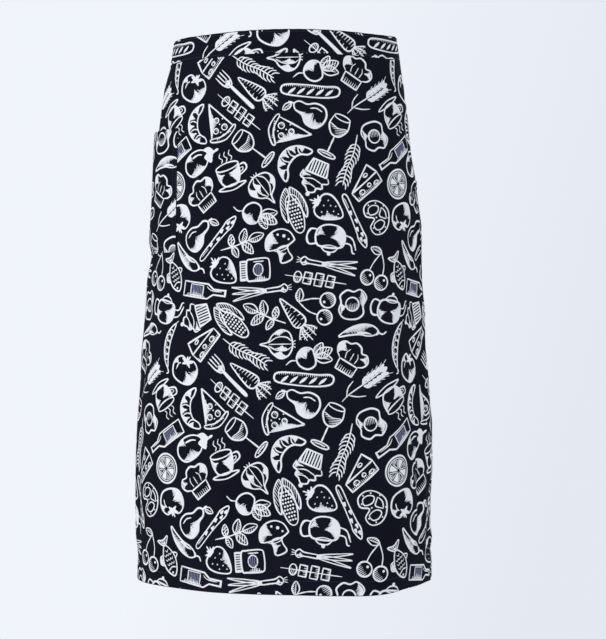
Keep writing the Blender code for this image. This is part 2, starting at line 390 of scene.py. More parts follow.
def steps(start, end, pitch):
    """Even marks from start to end, about pitch apart."""
    return np.linspace(start, end, max(2, round((end - start) / pitch)) + 1)


def with_step(marks, place):
    """The marks with two more close on each side of a place, for a step in the cloth."""
    return np.unique(np.append(marks, [place - LAP_STEP / 2, place + LAP_STEP / 2]).round(6))


# The print's drawing tools. A drawing is in millimetres, with x to the right and y up, and a list of
# plain numbers in it is x and y by turns.
WHITE, GREY = 0, 1
LINE = 2.3
FINE = 1.4
HATCH = 1.15
SEGMENT = 2.1
STRAIGHT_SEGMENT = 1.6 * SEGMENT
FILL_ROW = 1.5
FILL_RUN = 4.5
HATCH_SEGMENT = 4.0
WEIGHT = 0.96
SWELL = 0.16
SHADE = 1.18
STROKE = 1.65


def polyline(points, closed=False, rounded=True, segment=SEGMENT):
    """Even points about segment apart on a smooth curve, or on straight runs, through a few."""
    given = np.array(points, float).reshape(-1, 2)
    if rounded and len(given) > 2:
        if closed:
            knots = given[np.arange(-1, len(given) + 2) % len(given)]
        else:
            knots = np.vstack([2 * given[0] - given[1], given, 2 * given[-1] - given[-2]])
        a, b, c, d = (knots[n:len(knots) - 3 + n, None] for n in range(4))
        u = np.linspace(0, 1, 8, endpoint=False)[:, None]
        curve = 2 * b + (c - a) * u + (2 * a - 5 * b + 4 * c - d) * u**2 + (3 * b - 3 * c + d - a) * u**3
        given = np.vstack([0.5 * curve.reshape(-1, 2), given[len(given) - (not closed):]])
    if closed:
        given = np.vstack([given, given[:1]])
    place = lengths(given)
    if rounded:
        marks = np.linspace(0, place[-1], max(2, int(round(place[-1] / segment))) + 1)
    else:
        runs = [np.linspace(p, q, max(1, int(round((q - p) / STRAIGHT_SEGMENT))) + 1)
                for p, q in zip(place, place[1:])]
        marks = np.unique(np.concatenate(runs).round(6))
    return on_line(marks, place, given)


def circle(x, y, rx, ry=None):
    """Twelve points round an ellipse."""
    turn = np.linspace(0, TURN, 12, endpoint=False)
    return np.column_stack([x + rx * np.cos(turn), y + (ry or rx) * np.sin(turn)])


def aim(degrees):
    """The cosine and sine of an angle."""
    return math.cos(math.radians(degrees)), math.sin(math.radians(degrees))


def spans(outline, y):
    """The stretches of a level line inside a closed outline: both ends and the outline's slopes there."""
    a, b = outline, np.roll(outline, -1, axis=0)
    hit = (a[:, 1] <= y) != (b[:, 1] <= y)
    a, b = a[hit], b[hit]
    slope = (b[:, 0] - a[:, 0]) / (b[:, 1] - a[:, 1])
    x = a[:, 0] + (y - a[:, 1]) * slope
    order = np.argsort(x)
    x, slope = x[order], np.clip(slope[order], -1.2, 1.2)
    return zip(x[::2], x[1::2], slope[::2], slope[1::2])


def turned(points, angle):
    """Points turned about the origin."""
    c, s = math.cos(angle), math.sin(angle)
    return np.asarray(points, float).reshape(-1, 2) @ np.array([[c, s], [-s, c]])


class Drawing:
    """One motif's marks, as four-cornered patches with an ink and the layer that they lie in."""

    def __init__(self, seed):
        self.draw = np.random.RandomState(seed)
        self.corners, self.inks, self.layers = [], [], []
        self.layer = 0

    def add(self, patches, ink):
        """Patches in a layer of their own."""
        self.corners += list(patches)
        self.inks += [ink] * len(patches)
        self.layers += [self.layer] * len(patches)
        self.layer += 1

    def ribbon(self, points, widths, ink, closed=False):
        """A line of ink along points, with its width at each."""
        run = np.gradient(points, axis=0)
        if closed:
            run = np.roll(points[:-1], -1, axis=0) - np.roll(points[:-1], 1, axis=0)
            run = np.vstack([run, run[:1]])
        run /= np.maximum(np.linalg.norm(run, axis=1), 1e-9)[:, None]
        aside = np.stack([-run[:, 1], run[:, 0]], axis=1) * (np.asarray(widths) / 2)[:, None]
        left, right = points + aside, points - aside
        self.add(np.stack([left[:-1], right[:-1], right[1:], left[1:]], axis=1), ink)

    def line(self, points, width=LINE, closed=False, rounded=True, ends=0.5, ink=WHITE):
        """A drawn line: its width swells a little along it and narrows to its ends."""
        path = polyline(points, closed, rounded)
        part = np.linspace(0, 1, len(path))
        beats, phase = self.draw.randint(1, 4), self.draw.rand()
        if closed:
            beats, phase = self.draw.randint(1, 3), self.draw.rand()
        widths = WEIGHT * width * (1 + SWELL * np.sin(TURN * (part * beats + phase)))
        if closed:
            self.ribbon(path, widths, ink, True)
            return path[:-1]
        widths *= ends + (1 - ends) * np.sqrt(np.clip(np.minimum(part, 1 - part) * 5, 0, 1))
        self.ribbon(path, widths, ink)
        return path

    def fill(self, outline, ink=WHITE):
        """Solid ink inside an outline."""
        low, high = outline[:, 1].min(), outline[:, 1].max()
        rows = max(2, int(round((high - low) / FILL_ROW)))
        half = (high - low) / rows / 2
        patches = []
        for y in low + (np.arange(rows) + 0.5) * 2 * half:
            for x0, x1, s0, s1 in spans(outline, y):
                foot, top = (np.array([x0 + s0 * up, x1 + s1 * up]) for up in (-half, half))
                if min(foot[1] - foot[0], top[1] - top[0]) < 0.3:
                    continue
                u = np.linspace(0, 1, max(1, int(round((x1 - x0) / FILL_RUN))) + 1)
                fx, tx = (edge[0] + (edge[1] - edge[0]) * u for edge in (foot, top))
                for n in range(len(u) - 1):
                    patches.append(((fx[n], y - half), (fx[n + 1], y - half),
                                    (tx[n + 1], y + half), (tx[n], y + half)))
        self.add(patches, ink)

    def blob(self, points, segment=SEGMENT):
        """Solid ink inside a rounded outline."""
        self.fill(polyline(points, True, segment=segment))

    def shape(self, points, width=LINE, rounded=True, filled=False):
        """A closed outline, and its inside when it is filled."""
        path = self.line(points, width, True, rounded)
        if filled:
            self.fill(path)
        return path

    def dot(self, x, y, radius):
        """A small solid octagon."""
        near, far = 0.383 * radius, 0.924 * radius
        rows = ((-far, near), (-near, far), (near, far), (far, near))
        self.add([((x - w0, y + y0), (x + w0, y + y0), (x + w1, y + y1), (x - w1, y + y1))
                  for (y0, w0), (y1, w1) in zip(rows, rows[1:])], WHITE)

    def hatch(self, outline, angle, gap=2.3, width=HATCH, keep=(0, 1), ink=WHITE, margin=0.8):
        """Even strokes across an outline at an angle in degrees, over a share of each stroke's run."""
        lean = math.radians(angle)
        flat = turned(outline, -lean)
        gap, width = SHADE * gap, SHADE * width
        for y in np.arange(flat[:, 1].min() + gap * 0.6, flat[:, 1].max(), gap):
            for x0, x1, _, _ in spans(flat, y):
                x0, x1 = x0 + margin, x1 - margin
                a = x0 + (x1 - x0) * keep[0]
                b = x0 + (x1 - x0) * (keep[1] - 0.12 * self.draw.rand() * (keep[1] < 1))
                if b - a < 1.5:
                    continue
                count = max(1, int(round((b - a) / HATCH_SEGMENT))) + 1
                path = turned(np.column_stack([np.linspace(a, b, count), np.full(count, y)]), lean)
                end = 0.3 if keep[1] < 1 else 1
                start = 0.3 if keep[0] > 0 and end == 1 else 1
                self.ribbon(path, width * np.linspace(start, end, count), ink)

    def fringe(self, edge, toward, length, gap=1.9, width=1.7):
        """Strokes that start on an edge and run to a point, narrowing, as an engraver shades."""
        gap, width, length = SHADE * gap, 1.2 * SHADE * width, STROKE * length
        path = polyline(edge, segment=gap)
        for k, start in enumerate(path):
            away = np.array(toward, float) - start
            far = np.linalg.norm(away)
            if far < 1:
                continue
            share = math.sin(math.pi * (k + 0.7) / (len(path) + 0.4)) * (0.65 + 0.5 * self.draw.rand())
            reach = min(length * share, far * 0.85)
            if reach < 1.2:
                continue
            u = np.linspace(0, 1, max(1, int(round(reach / HATCH_SEGMENT))) + 1)
            self.ribbon(start + away / far * reach * u[:, None], width * (1 - 0.8 * u), WHITE)


def chef_hat(d):
    d.line([-15,-3, -23,2, -26,11, -20,19, -11,18, -6,25, 4,27, 11,22, 20,21, 26,13, 23,3, 16,-3], 2.8)
    band = d.shape([-15,-4, -14,-20, 14,-20, 15,-4], rounded=False)
    d.hatch(band, 90, 3.0, keep=(0, 0.55))
    d.line([-8,-1, -9,8, -6,14], FINE)
    d.line([0,-1, 0,12], FINE)
    d.line([8,-1, 10,8, 7,15], FINE)
    d.fringe([20,20, 25,13, 22,3], (8, 10), 10)
    d.fringe([-25,8, -21,17], (-10, 9), 7)


def fork(d):
    d.shape([-2,-44, 2.2,-44, 2,-20, 1.4,6, -1.4,6, -1.8,-20], FINE, filled=True)
    d.line([-8,36, -7.6,18, -4,8, 0,6, 4,8, 7.6,18, 8,36], 2.2)
    d.line([-2.7,37, -2.6,18], 2.0)
    d.line([2.7,37, 2.6,18], 2.0)
    d.fringe([-6,14, 0,8, 6,14], (0, 22), 6)


def carrot(d):
    body = d.shape([0,-36, -5,-20, -9,-2, -10,10, -5,16, 5,16, 10,10, 9,-2, 5,-20])
    d.hatch(body, 8, 4.2, 1.5, keep=(0.5, 1))
    d.hatch(body, -8, 6.5, 1.5, keep=(0, 0.35))
    for x, y, bend in ((-13, 34, -4), (-6, 40, -2), (2, 42, 2), (9, 38, 3), (15, 31, 6)):
        stem = d.line([(x * 0.15, 16), (x * 0.5 + bend, 26), (x, y)], 2.0)
        for k in (4, 6, 8):
            if k < len(stem):
                px, py = stem[k]
                d.line([(px - 3, py + 2.5), (px, py), (px + 3, py + 2.5)], 1.2)


def chilli(d):
    outer = [8,26, 13,16, 12,0, 4,-16, -8,-28, -15,-32]
    d.shape([*outer, -9,-18, -4,-2, -3,12, 1,23], 2.4)
    d.fringe(outer[2:10], (-20, 10), 8)
    d.blob([0,18, 2,6, -2,-8, -4,-4, -1,8])
    d.line([1,24, 5,28, 9,25], 3.0)
    d.line([5,28, 4,35, 9,40], 2.6)


def fish(d):
    d.shape([-26,0, -16,10, 0,13, 14,8, 23,1, 14,-7, 0,-12, -16,-9])
    d.shape([22,1, 34,12, 31,1, 34,-11], 2.2)
    d.line([-15,9, -12,0, -15,-8], 2.0)
    d.dot(-20, 2.5, 1.9)
    for x in (-7, 0, 7, 13):
        for y in (-5, 0, 5):
            if abs(y) + x < 14:
                d.line([(x + 2, y + 2.6), (x - 1.2, y), (x + 2, y - 2.6)], 1.3)
    d.line([-6,13, 0,20, 9,17, 10,10], 2.0)
    d.fringe([-5,14, 2,19, 9,15], (2, 8), 5)
    d.line([-3,-12, 3,-18, 8,-10], 2.0)
    for y in (-6, -2, 2, 6):
        d.line([(24, 1 + y * 0.1), (31, 1 + y)], 1.3)


def fried_egg(d):
    d.shape([-24,2, -18,14, -6,17, 2,23, 14,18, 17,8, 25,0, 20,-14, 6,-15, -4,-21, -16,-15], 2.6)
    d.hatch(d.shape(circle(0, 1, 10), 2.2), 35, 2.3, keep=(0, 0.6))
    d.fringe([24,-2, 18,-13, 6,-14], (2, 2), 7)
    d.fringe([-20,10, -8,16], (-4, 4), 6)


def lemon_slice(d):
    d.shape(circle(0, 0, 22), 2.8)
    d.line(circle(0, 0, 18.2), FINE, True)
    for k in range(8):
        turn = TURN * (k + 0.5) / 8
        wedge = [(r * math.cos(turn + w), r * math.sin(turn + w))
                 for r, w in ((2.6, 0), (15.8, -0.3), (15.8, -0.1), (15.8, 0.1), (15.8, 0.3))]
        path = d.line(wedge, 1.3, True, False)
        if k % 2:
            d.hatch(path, math.degrees(turn), 2.1, keep=(0.45, 1))
        else:
            d.fill(path * 0.999)


def mushroom(d):
    d.shape([-22,2, -19,14, -9,22, 4,23, 16,17, 22,6, 21,-1, 8,-4, -10,-4, -20,-1])
    d.shape([-7,-4, -8,-14, -10,-24, -2,-27, 8,-25, 7,-14, 6,-4], 2.2)
    d.fringe([5,23, 16,17, 22,6, 20,-1], (0, 2), 12)
    d.dot(-9, 11, 2.6)
    d.dot(-1, 16, 1.8)
    d.dot(-14, 4, 1.6)
    d.fringe([8,-24, 7,-14, 6,-6], (-6, -14), 7)
    d.line([-14,-3, -6,-8, 6,-8, 14,-3], FINE)


def garlic(d):
    outline = [0,26, -3,14, -13,7, -21,-5, -17,-18, -5,-23, 6,-23, 17,-17, 21,-5, 13,7, 4,14]
    d.shape(outline)
    d.line([-2,13, -10,0, -10,-14, -4,-22], 1.8)
    d.line([2,13, 9,0, 9,-14, 4,-22], 1.8)
    d.line([0,12, 0,-22], FINE)
    d.fringe([18,-15, 21,-5, 14,6], (9, -6), 8)
    d.fringe([-19,-12, -20,-3, -14,5], (-10, -4), 5)
    d.fringe([8,-18, 9,-8, 7,2], (0, -8), 6)
    for x in (-4, 0, 4):
        d.line([(x * 0.6, -23), (x * 1.3, -28)], 1.5)


def tomato(d):
    d.shape([0,14, -12,17, -22,9, -24,-4, -17,-17, 0,-21, 17,-17, 24,-4, 22,9, 12,17], 2.7)
    for turn in (100, 165, 20, 225, -45):
        c, s = aim(turn)
        tip = (12 * c, 12 + 9 * s)
        d.blob([(-3 * s, 12 + 3 * c), tip, (3 * s, 12 - 3 * c)], 1.8)
    d.line([0,13, 3,22], 3.0)
    d.fringe([4,-21, 17,-17, 24,-5, 22,8], (0, 0), 12)
    d.fringe([-23,2, -20,11], (-10, 4), 6)
    d.line([-16,-6, -15,2, -11,7], 2.0)


def pea_pod(d):
    d.shape([-34,8, -20,-4, 0,-9, 20,-5, 34,7, 18,5, 0,3, -20,5], 2.2)
    for x, y, r in ((-19, 1, 4.2), (-10, -1.5, 5.0), (0, -2.4, 5.4), (10, -1.5, 5.0), (19, 1, 4.2)):
        d.hatch(d.shape(circle(x, y, r), 1.6), 50, 2.0, 1.0, keep=(0, 0.5))
    d.line([-34,8, -40,12, -43,8], 2.4)
    d.line([34,7, 39,11], 1.8)


def wheat(d):
    d.line([-4,-42, 0,-20, 1,34], 1.8)
    for y in range(-2, 34, 8):
        for side in (-1, 1):
            grain = [(side * 1.5, y), (side * 8, y + 4), (side * 9, y + 12), (side * 3, y + 8)]
            d.blob(grain, 2.0)
            d.line([(side * 9, y + 12), (side * 12, y + 18)], 1.0)
    d.blob([1,32, -3,38, 1,44, 5,38], 2.0)
    d.line([-2,-28, -10,-18, -16,-6], 1.8)
    d.line([-1,-32, 8,-24, 13,-12], 1.8)


def leaf(d, x, y, length, lean, filled):
    """A leaf from its stalk's end, for the sprig."""
    c, s = aim(lean)
    edge = length * np.array([(0, 0), (0.28, 0.24), (0.62, 0.25), (1, 0), (0.62, -0.25), (0.28, -0.24)])
    outline = turned(edge, math.radians(lean)) + (x, y)
    path = d.shape(outline, 1.9)
    d.line([(x, y), (x + length * 0.85 * c, y + length * 0.85 * s)], 1.3)
    if filled:
        d.hatch(path, lean + 55, 2.3, 1.2, keep=(0, 0.48))
    else:
        d.hatch(path, lean - 50, 3.2, 1.0)


def sprig(d):
    d.line([0,-32, 1,-8, -1,16], 2.2)
    leaf(d, -1, 14, 24, 95, True)
    leaf(d, 0, 4, 23, 30, False)
    leaf(d, 0, 2, 22, 150, True)
    leaf(d, 1, -12, 18, 12, True)
    leaf(d, 0, -14, 18, 168, False)


def cheese(d):
    d.line([-26,-4, 20,16, 27,-2], 2.6, True, False)
    d.line([-26,-4, -25,-19, 26,-19, 27,-2], 2.6, rounded=False)
    for x, y, rx, ry in ((-12, -12, 4.6, 3.4), (4, -10, 3.4, 2.8), (16, -14, 4.4, 2.6), (8, 5, 4.0, 2.4)):
        d.hatch(d.shape(circle(x, y, rx, ry), 1.7), 0, 1.8, 1.0, keep=(0, 0.6))
    d.hatch([-25,-5, -24,-18, 25,-18, 26,-3], 90, 2.4, keep=(0, 0.35))


def cup(d):
    d.shape(circle(-3, 13, 19, 5.5), 2.2)
    d.line([-22,12, -20,-4, -12,-16, 6,-16, 14,-4, 16,12], 2.6)
    d.line([16,9, 25,9, 26,0, 12,-7], 2.6)
    d.line([15,4, 21,4, 20,0, 14,-2], FINE)
    d.shape([-26,-18, -3,-24, 20,-18, -3,-15.5], 2.2)
    d.fringe([16,10, 14,-3, 7,-15], (-6, 2), 13)
    d.fringe([-21,8, -18,-6], (-8, 2), 6)
    for x in (-10, -2, 6):
        d.line([(x, 20), (x + 3, 25), (x - 1, 30), (x + 2, 36)], 1.6)


def teapot(d):
    d.shape([-16,12, -23,2, -21,-12, -10,-20, 8,-20, 19,-12, 21,2, 14,12], 2.7)
    d.line([20,4, 30,6, 34,17, 38,18], 2.4)
    d.line([19,-8, 32,-3, 39,13], 2.4)
    d.line([-19,8, -32,10, -36,-1, -31,-12, -20,-12], 3.0)
    d.line([-14,13, -7,19, 5,19, 12,13], 2.2)
    d.dot(-1, 22, 3.0)
    d.fringe([8,-20, 18,-13, 21,1, 16,10], (-4, -2), 14)
    d.fringe([-22,-4, -17,-15], (-6, -4), 7)
    d.line([-15,12, -1,9.5, 13,12], FINE)


def cupcake(d):
    case = d.line([-17,-2, -12,-23, 12,-23, 17,-2], 2.5, True, False)
    d.hatch(case, 90, 3.6, 1.9)
    d.line([-19,-2, -22,5, -14,9, -16,15, -8,18, -7,24, 2,27, 8,21, 14,18, 14,11, 21,8, 20,-2], 2.6)
    d.line([-13,9, 2,6, 15,10], 1.7)
    d.line([-8,18, 2,15, 12,18], 1.7)
    d.fringe([20,0, 19,7], (4, 2), 9)
    d.fringe([14,12, 13,17], (2, 13), 7)
    d.dot(1, 30, 3.4)


def baguette(d):
    outline = d.shape([-44,-4, -40,5, -20,9, 10,9, 38,6, 44,-1, 38,-8, 10,-9, -20,-8, -38,-9], 2.5)
    for x in (-28, -14, 0, 14, 28):
        d.blob([(x - 6, -4), (x - 1, 3), (x + 6, 6), (x + 1, -1)], 1.8)
    d.hatch(outline, 90, 2.6, 1.1, keep=(0, 0.25))


def croissant(d):
    d.shape([-30,-14, -24,4, -10,16, 8,17, 24,6, 31,-12, 22,-10, 12,-2, -2,0, -14,-4, -22,-14], 2.6)
    for a, b in (((-22, 7), (-16, -7)), ((-9, 16), (-7, -2)), ((6, 17), (4, 0)), ((21, 9), (15, -4))):
        d.line([a, ((a[0] + b[0]) / 2 + 3, (a[1] + b[1]) / 2), b], 1.9)
    d.fringe([-26,-2, -22,6], (-18, -6), 7)
    d.fringe([-18,10, -10,16], (-11, 0), 9)
    d.fringe([-5,17, 5,17], (0, 4), 9)
    d.fringe([10,16, 20,10], (10, 2), 9)
    d.fringe([24,6, 29,-6], (18, -2), 7)


def pear(d):
    d.shape([0,26, -7,21, -9,9, -17,-2, -18,-16, -9,-25, 5,-26, 16,-19, 17,-4, 9,7, 7,20], 2.7)
    d.line([0,26, 2,35], 2.8)
    leaf(d, 2, 30, 16, 20, True)
    d.fringe([4,-26, 15,-20, 17,-5, 9,7, 7,18], (-5, -6), 11)
    d.line([-11,-16, -11,-6, -6,2], 2.0)


def cherries(d):
    for x, y in ((-12, -14), (13, -18)):
        path = d.shape(circle(x, y, 11), 2.4)
        d.hatch(path, 40, 2.2, keep=(0, 0.5))
        d.dot(x + 4, y + 4, 2.0)
    d.line([-11,-4, -6,10, 4,26], 1.9)
    d.line([13,-8, 12,8, 4,26], 1.9)
    leaf(d, 4, 25, 20, 165, True)


def corn(d):
    d.shape([0,34, -7,28, -11,8, -10,-14, -4,-24, 4,-24, 10,-14, 11,8, 7,28], 2.0)
    for row, y in enumerate(np.arange(-16, 30, 5.2)):
        half = 8.4 * math.sqrt(max(0.1, 1 - (y / 36) ** 2))
        for x in np.arange(-half + 1.6 + (row % 2) * 1.4, half, 4.2):
            d.dot(x, y, 1.6)
    left = d.shape([-3,-36, -15,-22, -19,0, -14,14, -9,-6, -2,-22], 2.2)
    right = d.shape([3,-36, 15,-22, 19,0, 14,14, 9,-6, 2,-22], 2.2)
    d.hatch(left, 75, 2.6, 1.1, keep=(0, 0.7))
    d.hatch(right, 105, 2.6, 1.1, keep=(0, 0.7))


def aubergine(d):
    d.shape([2,16, -10,10, -18,-4, -19,-20, -8,-30, 6,-28, 15,-16, 17,0, 12,13], 2.6)
    d.blob([-4,13, -9,20, 0,24, 8,27, 16,20, 14,9, 8,15, 3,9])
    d.line([5,24, 8,36], 4.0)
    d.fringe([-17,-22, -18,-6, -11,8], (6, -8), 9)
    d.fringe([6,-28, 15,-16], (0, -10), 6)
    d.line([8,-14, 10,-2, 8,6], 2.6)


def bottle(d):
    d.shape([-4,40, -4,20, -11,10, -11,-36, 11,-36, 11,10, 4,20, 4,40], 2.4, False)
    d.line([-5.5,40, 5.5,40], 3.4, ends=0.8)
    label = d.shape([-8,2, -8,-22, 8,-22, 8,2], 1.6, False)
    d.hatch(label, 0, 2.4, 1.2, ink=GREY, margin=1.4)
    d.fringe([11,8, 11,-34], (-60, -12), 6, gap=2.6)
    d.line([-7,8, -2,17, -1.5,34], FINE)


def wine_glass(d):
    d.shape(circle(0, 29, 13, 4), 1.9)
    d.line([-13,29, -15,14, -8,2, 0,-1, 8,2, 15,14, 13,29], 2.4)
    d.line([0,-1, 0,-28], 2.4)
    d.shape(circle(0, -31, 14, 4), 2.2)
    wine = d.line([-14,15, 0,12, 14,15, 8,3, 0,0, -8,3], 1.3, True)
    d.hatch(wine, 20, 2.1, 1.2, keep=(0.25, 1))
    d.fringe([-10,-31, 10,-31], (0, -29), 4)


def pretzel(d):
    d.shape([0,6, -9,17, -22,14, -26,0, -18,-14, 0,-22, 18,-14, 26,0, 22,14, 9,17], 2.2)
    d.shape([-8,10, -17,9, -19,0, -13,-8, -6,-2], 1.9)
    d.shape([8,10, 17,9, 19,0, 13,-8, 6,-2], 1.9)
    d.shape([0,-4, -7,-10, -9,-13, 0,-16, 9,-13, 7,-10], 1.9)
    for x, y in ((-22, 6), (-20, -6), (-12, 13), (12, 13), (22, 6), (20, -6), (-10, -17), (10, -17),
                 (0, 2)):
        d.dot(x, y, 1.3)


def strawberry(d):
    d.shape([0,-26, -13,-12, -19,4, -14,15, 0,17, 14,15, 19,4, 13,-12], 2.6)
    for x, y in ((-10, 5), (0, 7), (10, 5), (-5, -2), (5, -2), (-8, -9), (0, -10), (8, -9), (0, -18)):
        d.blob([(x, y + 2), (x - 1.2, y), (x, y - 2), (x + 1.2, y)], 1.3)
    for turn in (20, 60, 100, 140, 175, 5):
        c, s = aim(turn)
        d.blob([(-2.4 * s, 16 + 2.4 * c), (13 * c, 16 + 9 * s), (2.4 * s, 16 - 2.4 * c)], 2.0)
    d.line([0,18, 3,29], 2.2)
    d.fringe([4,-22, 13,-11, 18,3], (-2, 0), 6)


def pizza(d):
    d.shape([-20,18, 0,25, 20,18, 22,12, 0,18, -22,12], 2.2)
    d.line([-20,12, -2,-34, 2,-34, 20,12], 2.5)
    for x, y, r in ((-7, 7, 4.6), (8, 5, 4.2), (0, -9, 4.0)):
        d.hatch(d.shape(circle(x, y, r), 1.7), 30, 1.9, 1.0, keep=(0, 0.6))
    d.fringe([2,-32, 11,-10, 18,10], (-6, -2), 7)
    for x, y in ((-10, -6), (2, 11), (3, -20), (-2, -1)):
        d.dot(x, y, 1.2)
    d.fringe([-16,18, 16,18], (0, 15), 3, gap=2.6)


def radish(d):
    d.shape([0,8, -12,6, -16,-5, -10,-15, 0,-19, 10,-15, 16,-5, 12,6], 2.5)
    d.line([0,-19, 2,-27, -2,-36], 1.9)
    d.fringe([3,-18, 10,-14, 15,-5, 12,5], (-3, -4), 9)
    leaf(d, 0, 8, 26, 115, True)
    leaf(d, 0, 8, 28, 80, False)
    leaf(d, 1, 8, 22, 45, True)


def jam_jar(d):
    d.shape([-13,10, -16,2, -16,-20, -9,-24, 9,-24, 16,-20, 16,2, 13,10], 2.5)
    lid = d.shape([-14,11, -14,20, 14,20, 14,11], 2.2, False)
    d.hatch(lid, 90, 3.0, 1.6)
    d.hatch(d.shape(circle(0, -7, 9, 7), 1.7), 0, 2.4, 1.1, ink=GREY)
    d.fringe([16,0, 16,-19], (-30, -9), 6, gap=2.2)
    d.line([-12,0, -12,-16], 1.8)


def asparagus(d):
    d.shape([-3.6,-42, -4,-10, -5,14, -6,26, 0,40, 6,26, 5,14, 4,-10, 3.6,-42], 2.0)
    for x, y in ((-2, 31), (2.4, 26), (-2, 20), (2, 10), (-1.5, -2), (1.5, -16)):
        d.blob([(x - 2.2, y - 3), (x, y + 4), (x + 2.2, y - 3)], 1.6)
    d.line([1.5,-40, 1.2,-24], 1.1)


def skewer(d):
    d.line([0,-46, 0,46], 1.5)
    for y, half in ((-22, 8), (-5, 9), (12, 8)):
        side = half + 0.5
        chunk = d.shape([-half, y - 6, -side, y + 5, half, y + 6.5, side, y - 5], 2.0, False)
        d.hatch(chunk, 80, 2.3, 1.1, keep=(0, 0.5))
    d.hatch(d.shape(circle(0, 27, 8, 5.5), 2.0), 15, 2.2, 1.0, keep=(0.4, 1))


def rosemary(d):
    d.line([-3,-42, 1,-14, 0,14, 3,38], 1.9)
    for k, y in enumerate(range(-28, 38, 6)):
        for side in (-1, 1):
            lean = side * (9 + 2 * math.sin(k))
            d.line([(1, y), (1 + lean * 0.7, y + 4), (1 + lean, y + 11)], 1.9, ends=0.3)


def spring_onion(d):
    d.shape([-3,-30, -6,-38, 0,-43, 6,-38, 3,-30, 2.4,-8, -2.4,-8], 2.0)
    for lean in (-13, -3, 8):
        foot, bend = lean * 0.1, lean * 0.5
        d.shape([foot - 1.6, -8, bend - 2, 16, lean, 42, bend + 2, 16, foot + 1.6, -8], 1.6)
    for x in (-3, 0, 3):
        d.line([(x * 0.7, -43), (x * 1.4, -49)], 1.2)
    d.fringe([4,-40, 3,-30], (-3, -36), 4)


MOTIFS = (
    asparagus, skewer, rosemary, spring_onion, chef_hat, fork, carrot, chilli, fish, fried_egg,
    lemon_slice, mushroom, garlic, tomato, pea_pod, wheat, sprig, cheese, cup, teapot, cupcake, baguette,
    croissant, pear, cherries, corn, aubergine, bottle, wine_glass, pretzel, strawberry, pizza, radish,
    jam_jar,
)

# The print's repeat, in millimetres, and how its motifs are laid on it.
REPEAT = np.array([336.0, 384.0])
COPIES = 3
MOTIF_SCALE = 0.90
MOTIF_GAP = 5.0
TWIN_GAP = 92.0
LAY_CELL = 2.4
LAY_TURNS = 16
LAY_NEAR = 7.0
LAY_WIDE = 11.0
LAY_REACH = 4 * LAY_CELL
LAY_ROUNDS = 4
LAY_SEED = 8
# Less than one cell, for rounding
LAY_SHARED = 0.5
INK_LAYERS = 40
# Corners that round to the same part of a millimetre are one
CORNERS_PER_MM = 50


def hull(points):
    """The corners of the smallest convex outline round some points, anticlockwise."""
    points = np.unique(points.round(1), axis=0)
    corners = []
    for order in (points, points[::-1]):
        line = []
        for p in order:
            while len(line) > 1 and np.cross(line[-1] - line[-2], p - line[-1]) <= 0:
                line.pop()
            line.append(p)
        corners += line[:-1]
    return np.array(corners)


def footprint(corners, shape):
    """The cells of the repeat that a motif at its first cell covers, with half the gap round it."""
    reach = int(np.abs(corners).max() / LAY_CELL) + 4
    near = np.arange(-reach, reach + 1)
    x, y = np.meshgrid(near * LAY_CELL, near * LAY_CELL)
    inside = np.ones(x.shape, bool)
    for p, run in zip(corners, units(np.roll(corners, -1, axis=0) - corners)):
        inside &= run[0] * (y - p[1]) - run[1] * (x - p[0]) > -MOTIF_GAP / 2
    mask = np.zeros(shape)
    mask[np.ix_(near % shape[0], near % shape[1])] = inside
    return mask


def lay(hulls, draw):
    """The motifs that find room: their numbers, places and turns, close together but clear.

    The last copies are tried once the others lie. Then each motif moves a little, to the middle of
    its room.
    """
    shape = tuple(int(round(side / LAY_CELL)) for side in REPEAT[::-1])
    y, x = (np.minimum(np.arange(n), n - np.arange(n)) * LAY_CELL for n in shape)
    away = np.hypot(x[None, :], y[:, None])
    taken = np.zeros(shape)
    kinds = len(hulls) // COPIES
    early = kinds * (COPIES - 1)
    laid = {}

    def rolled(grid, spot):
        return np.roll(grid, spot, axis=(0, 1))

    def tried(mask, breadth):
        """For a motif at every cell: how much it overlaps the others, and how close they are."""
        held, form = np.fft.rfft2(taken), np.conj(np.fft.rfft2(mask))
        halo = np.fft.rfft2(bell(away, breadth))
        return np.fft.irfft2(held * form, shape), np.fft.irfft2(held * halo * form, shape)

    for number in [*draw.permutation(early), *draw.permutation(np.arange(early, len(hulls)))]:
        allowed = np.ones(shape, bool)
        for twin in range(number % kinds, len(hulls), kinds):
            if twin in laid:
                allowed &= rolled(away, laid[twin][0]) > TWIN_GAP
        best = 0.0
        for angle in draw.uniform(0, TURN, LAY_TURNS):
            mask = footprint(turned(hulls[number], angle), shape)
            overlap, close = tried(mask, LAY_NEAR)
            score = np.where((overlap < LAY_SHARED) & allowed, close + 1, -1)
            spot = np.unravel_index(np.argmax(score), shape)
            if score[spot] > best:
                best = score[spot]
                laid[number] = (spot, angle, mask)
        if number in laid:
            taken += rolled(laid[number][2], laid[number][0])
    for _ in range(LAY_ROUNDS):
        for number, (spot, angle, mask) in laid.items():
            taken -= rolled(mask, spot)
            overlap, close = tried(mask, LAY_WIDE)
            close[(overlap > LAY_SHARED) | (rolled(away, spot) >= LAY_REACH)] = np.inf
            spot = np.unravel_index(np.argmin(close), shape)
            taken += rolled(mask, spot)
            laid[number] = (spot, angle, mask)
    return [(number, np.array(spot[::-1]) * LAY_CELL, angle)
            for number, (spot, angle, _) in sorted(laid.items(), key=lambda row: row[0])]


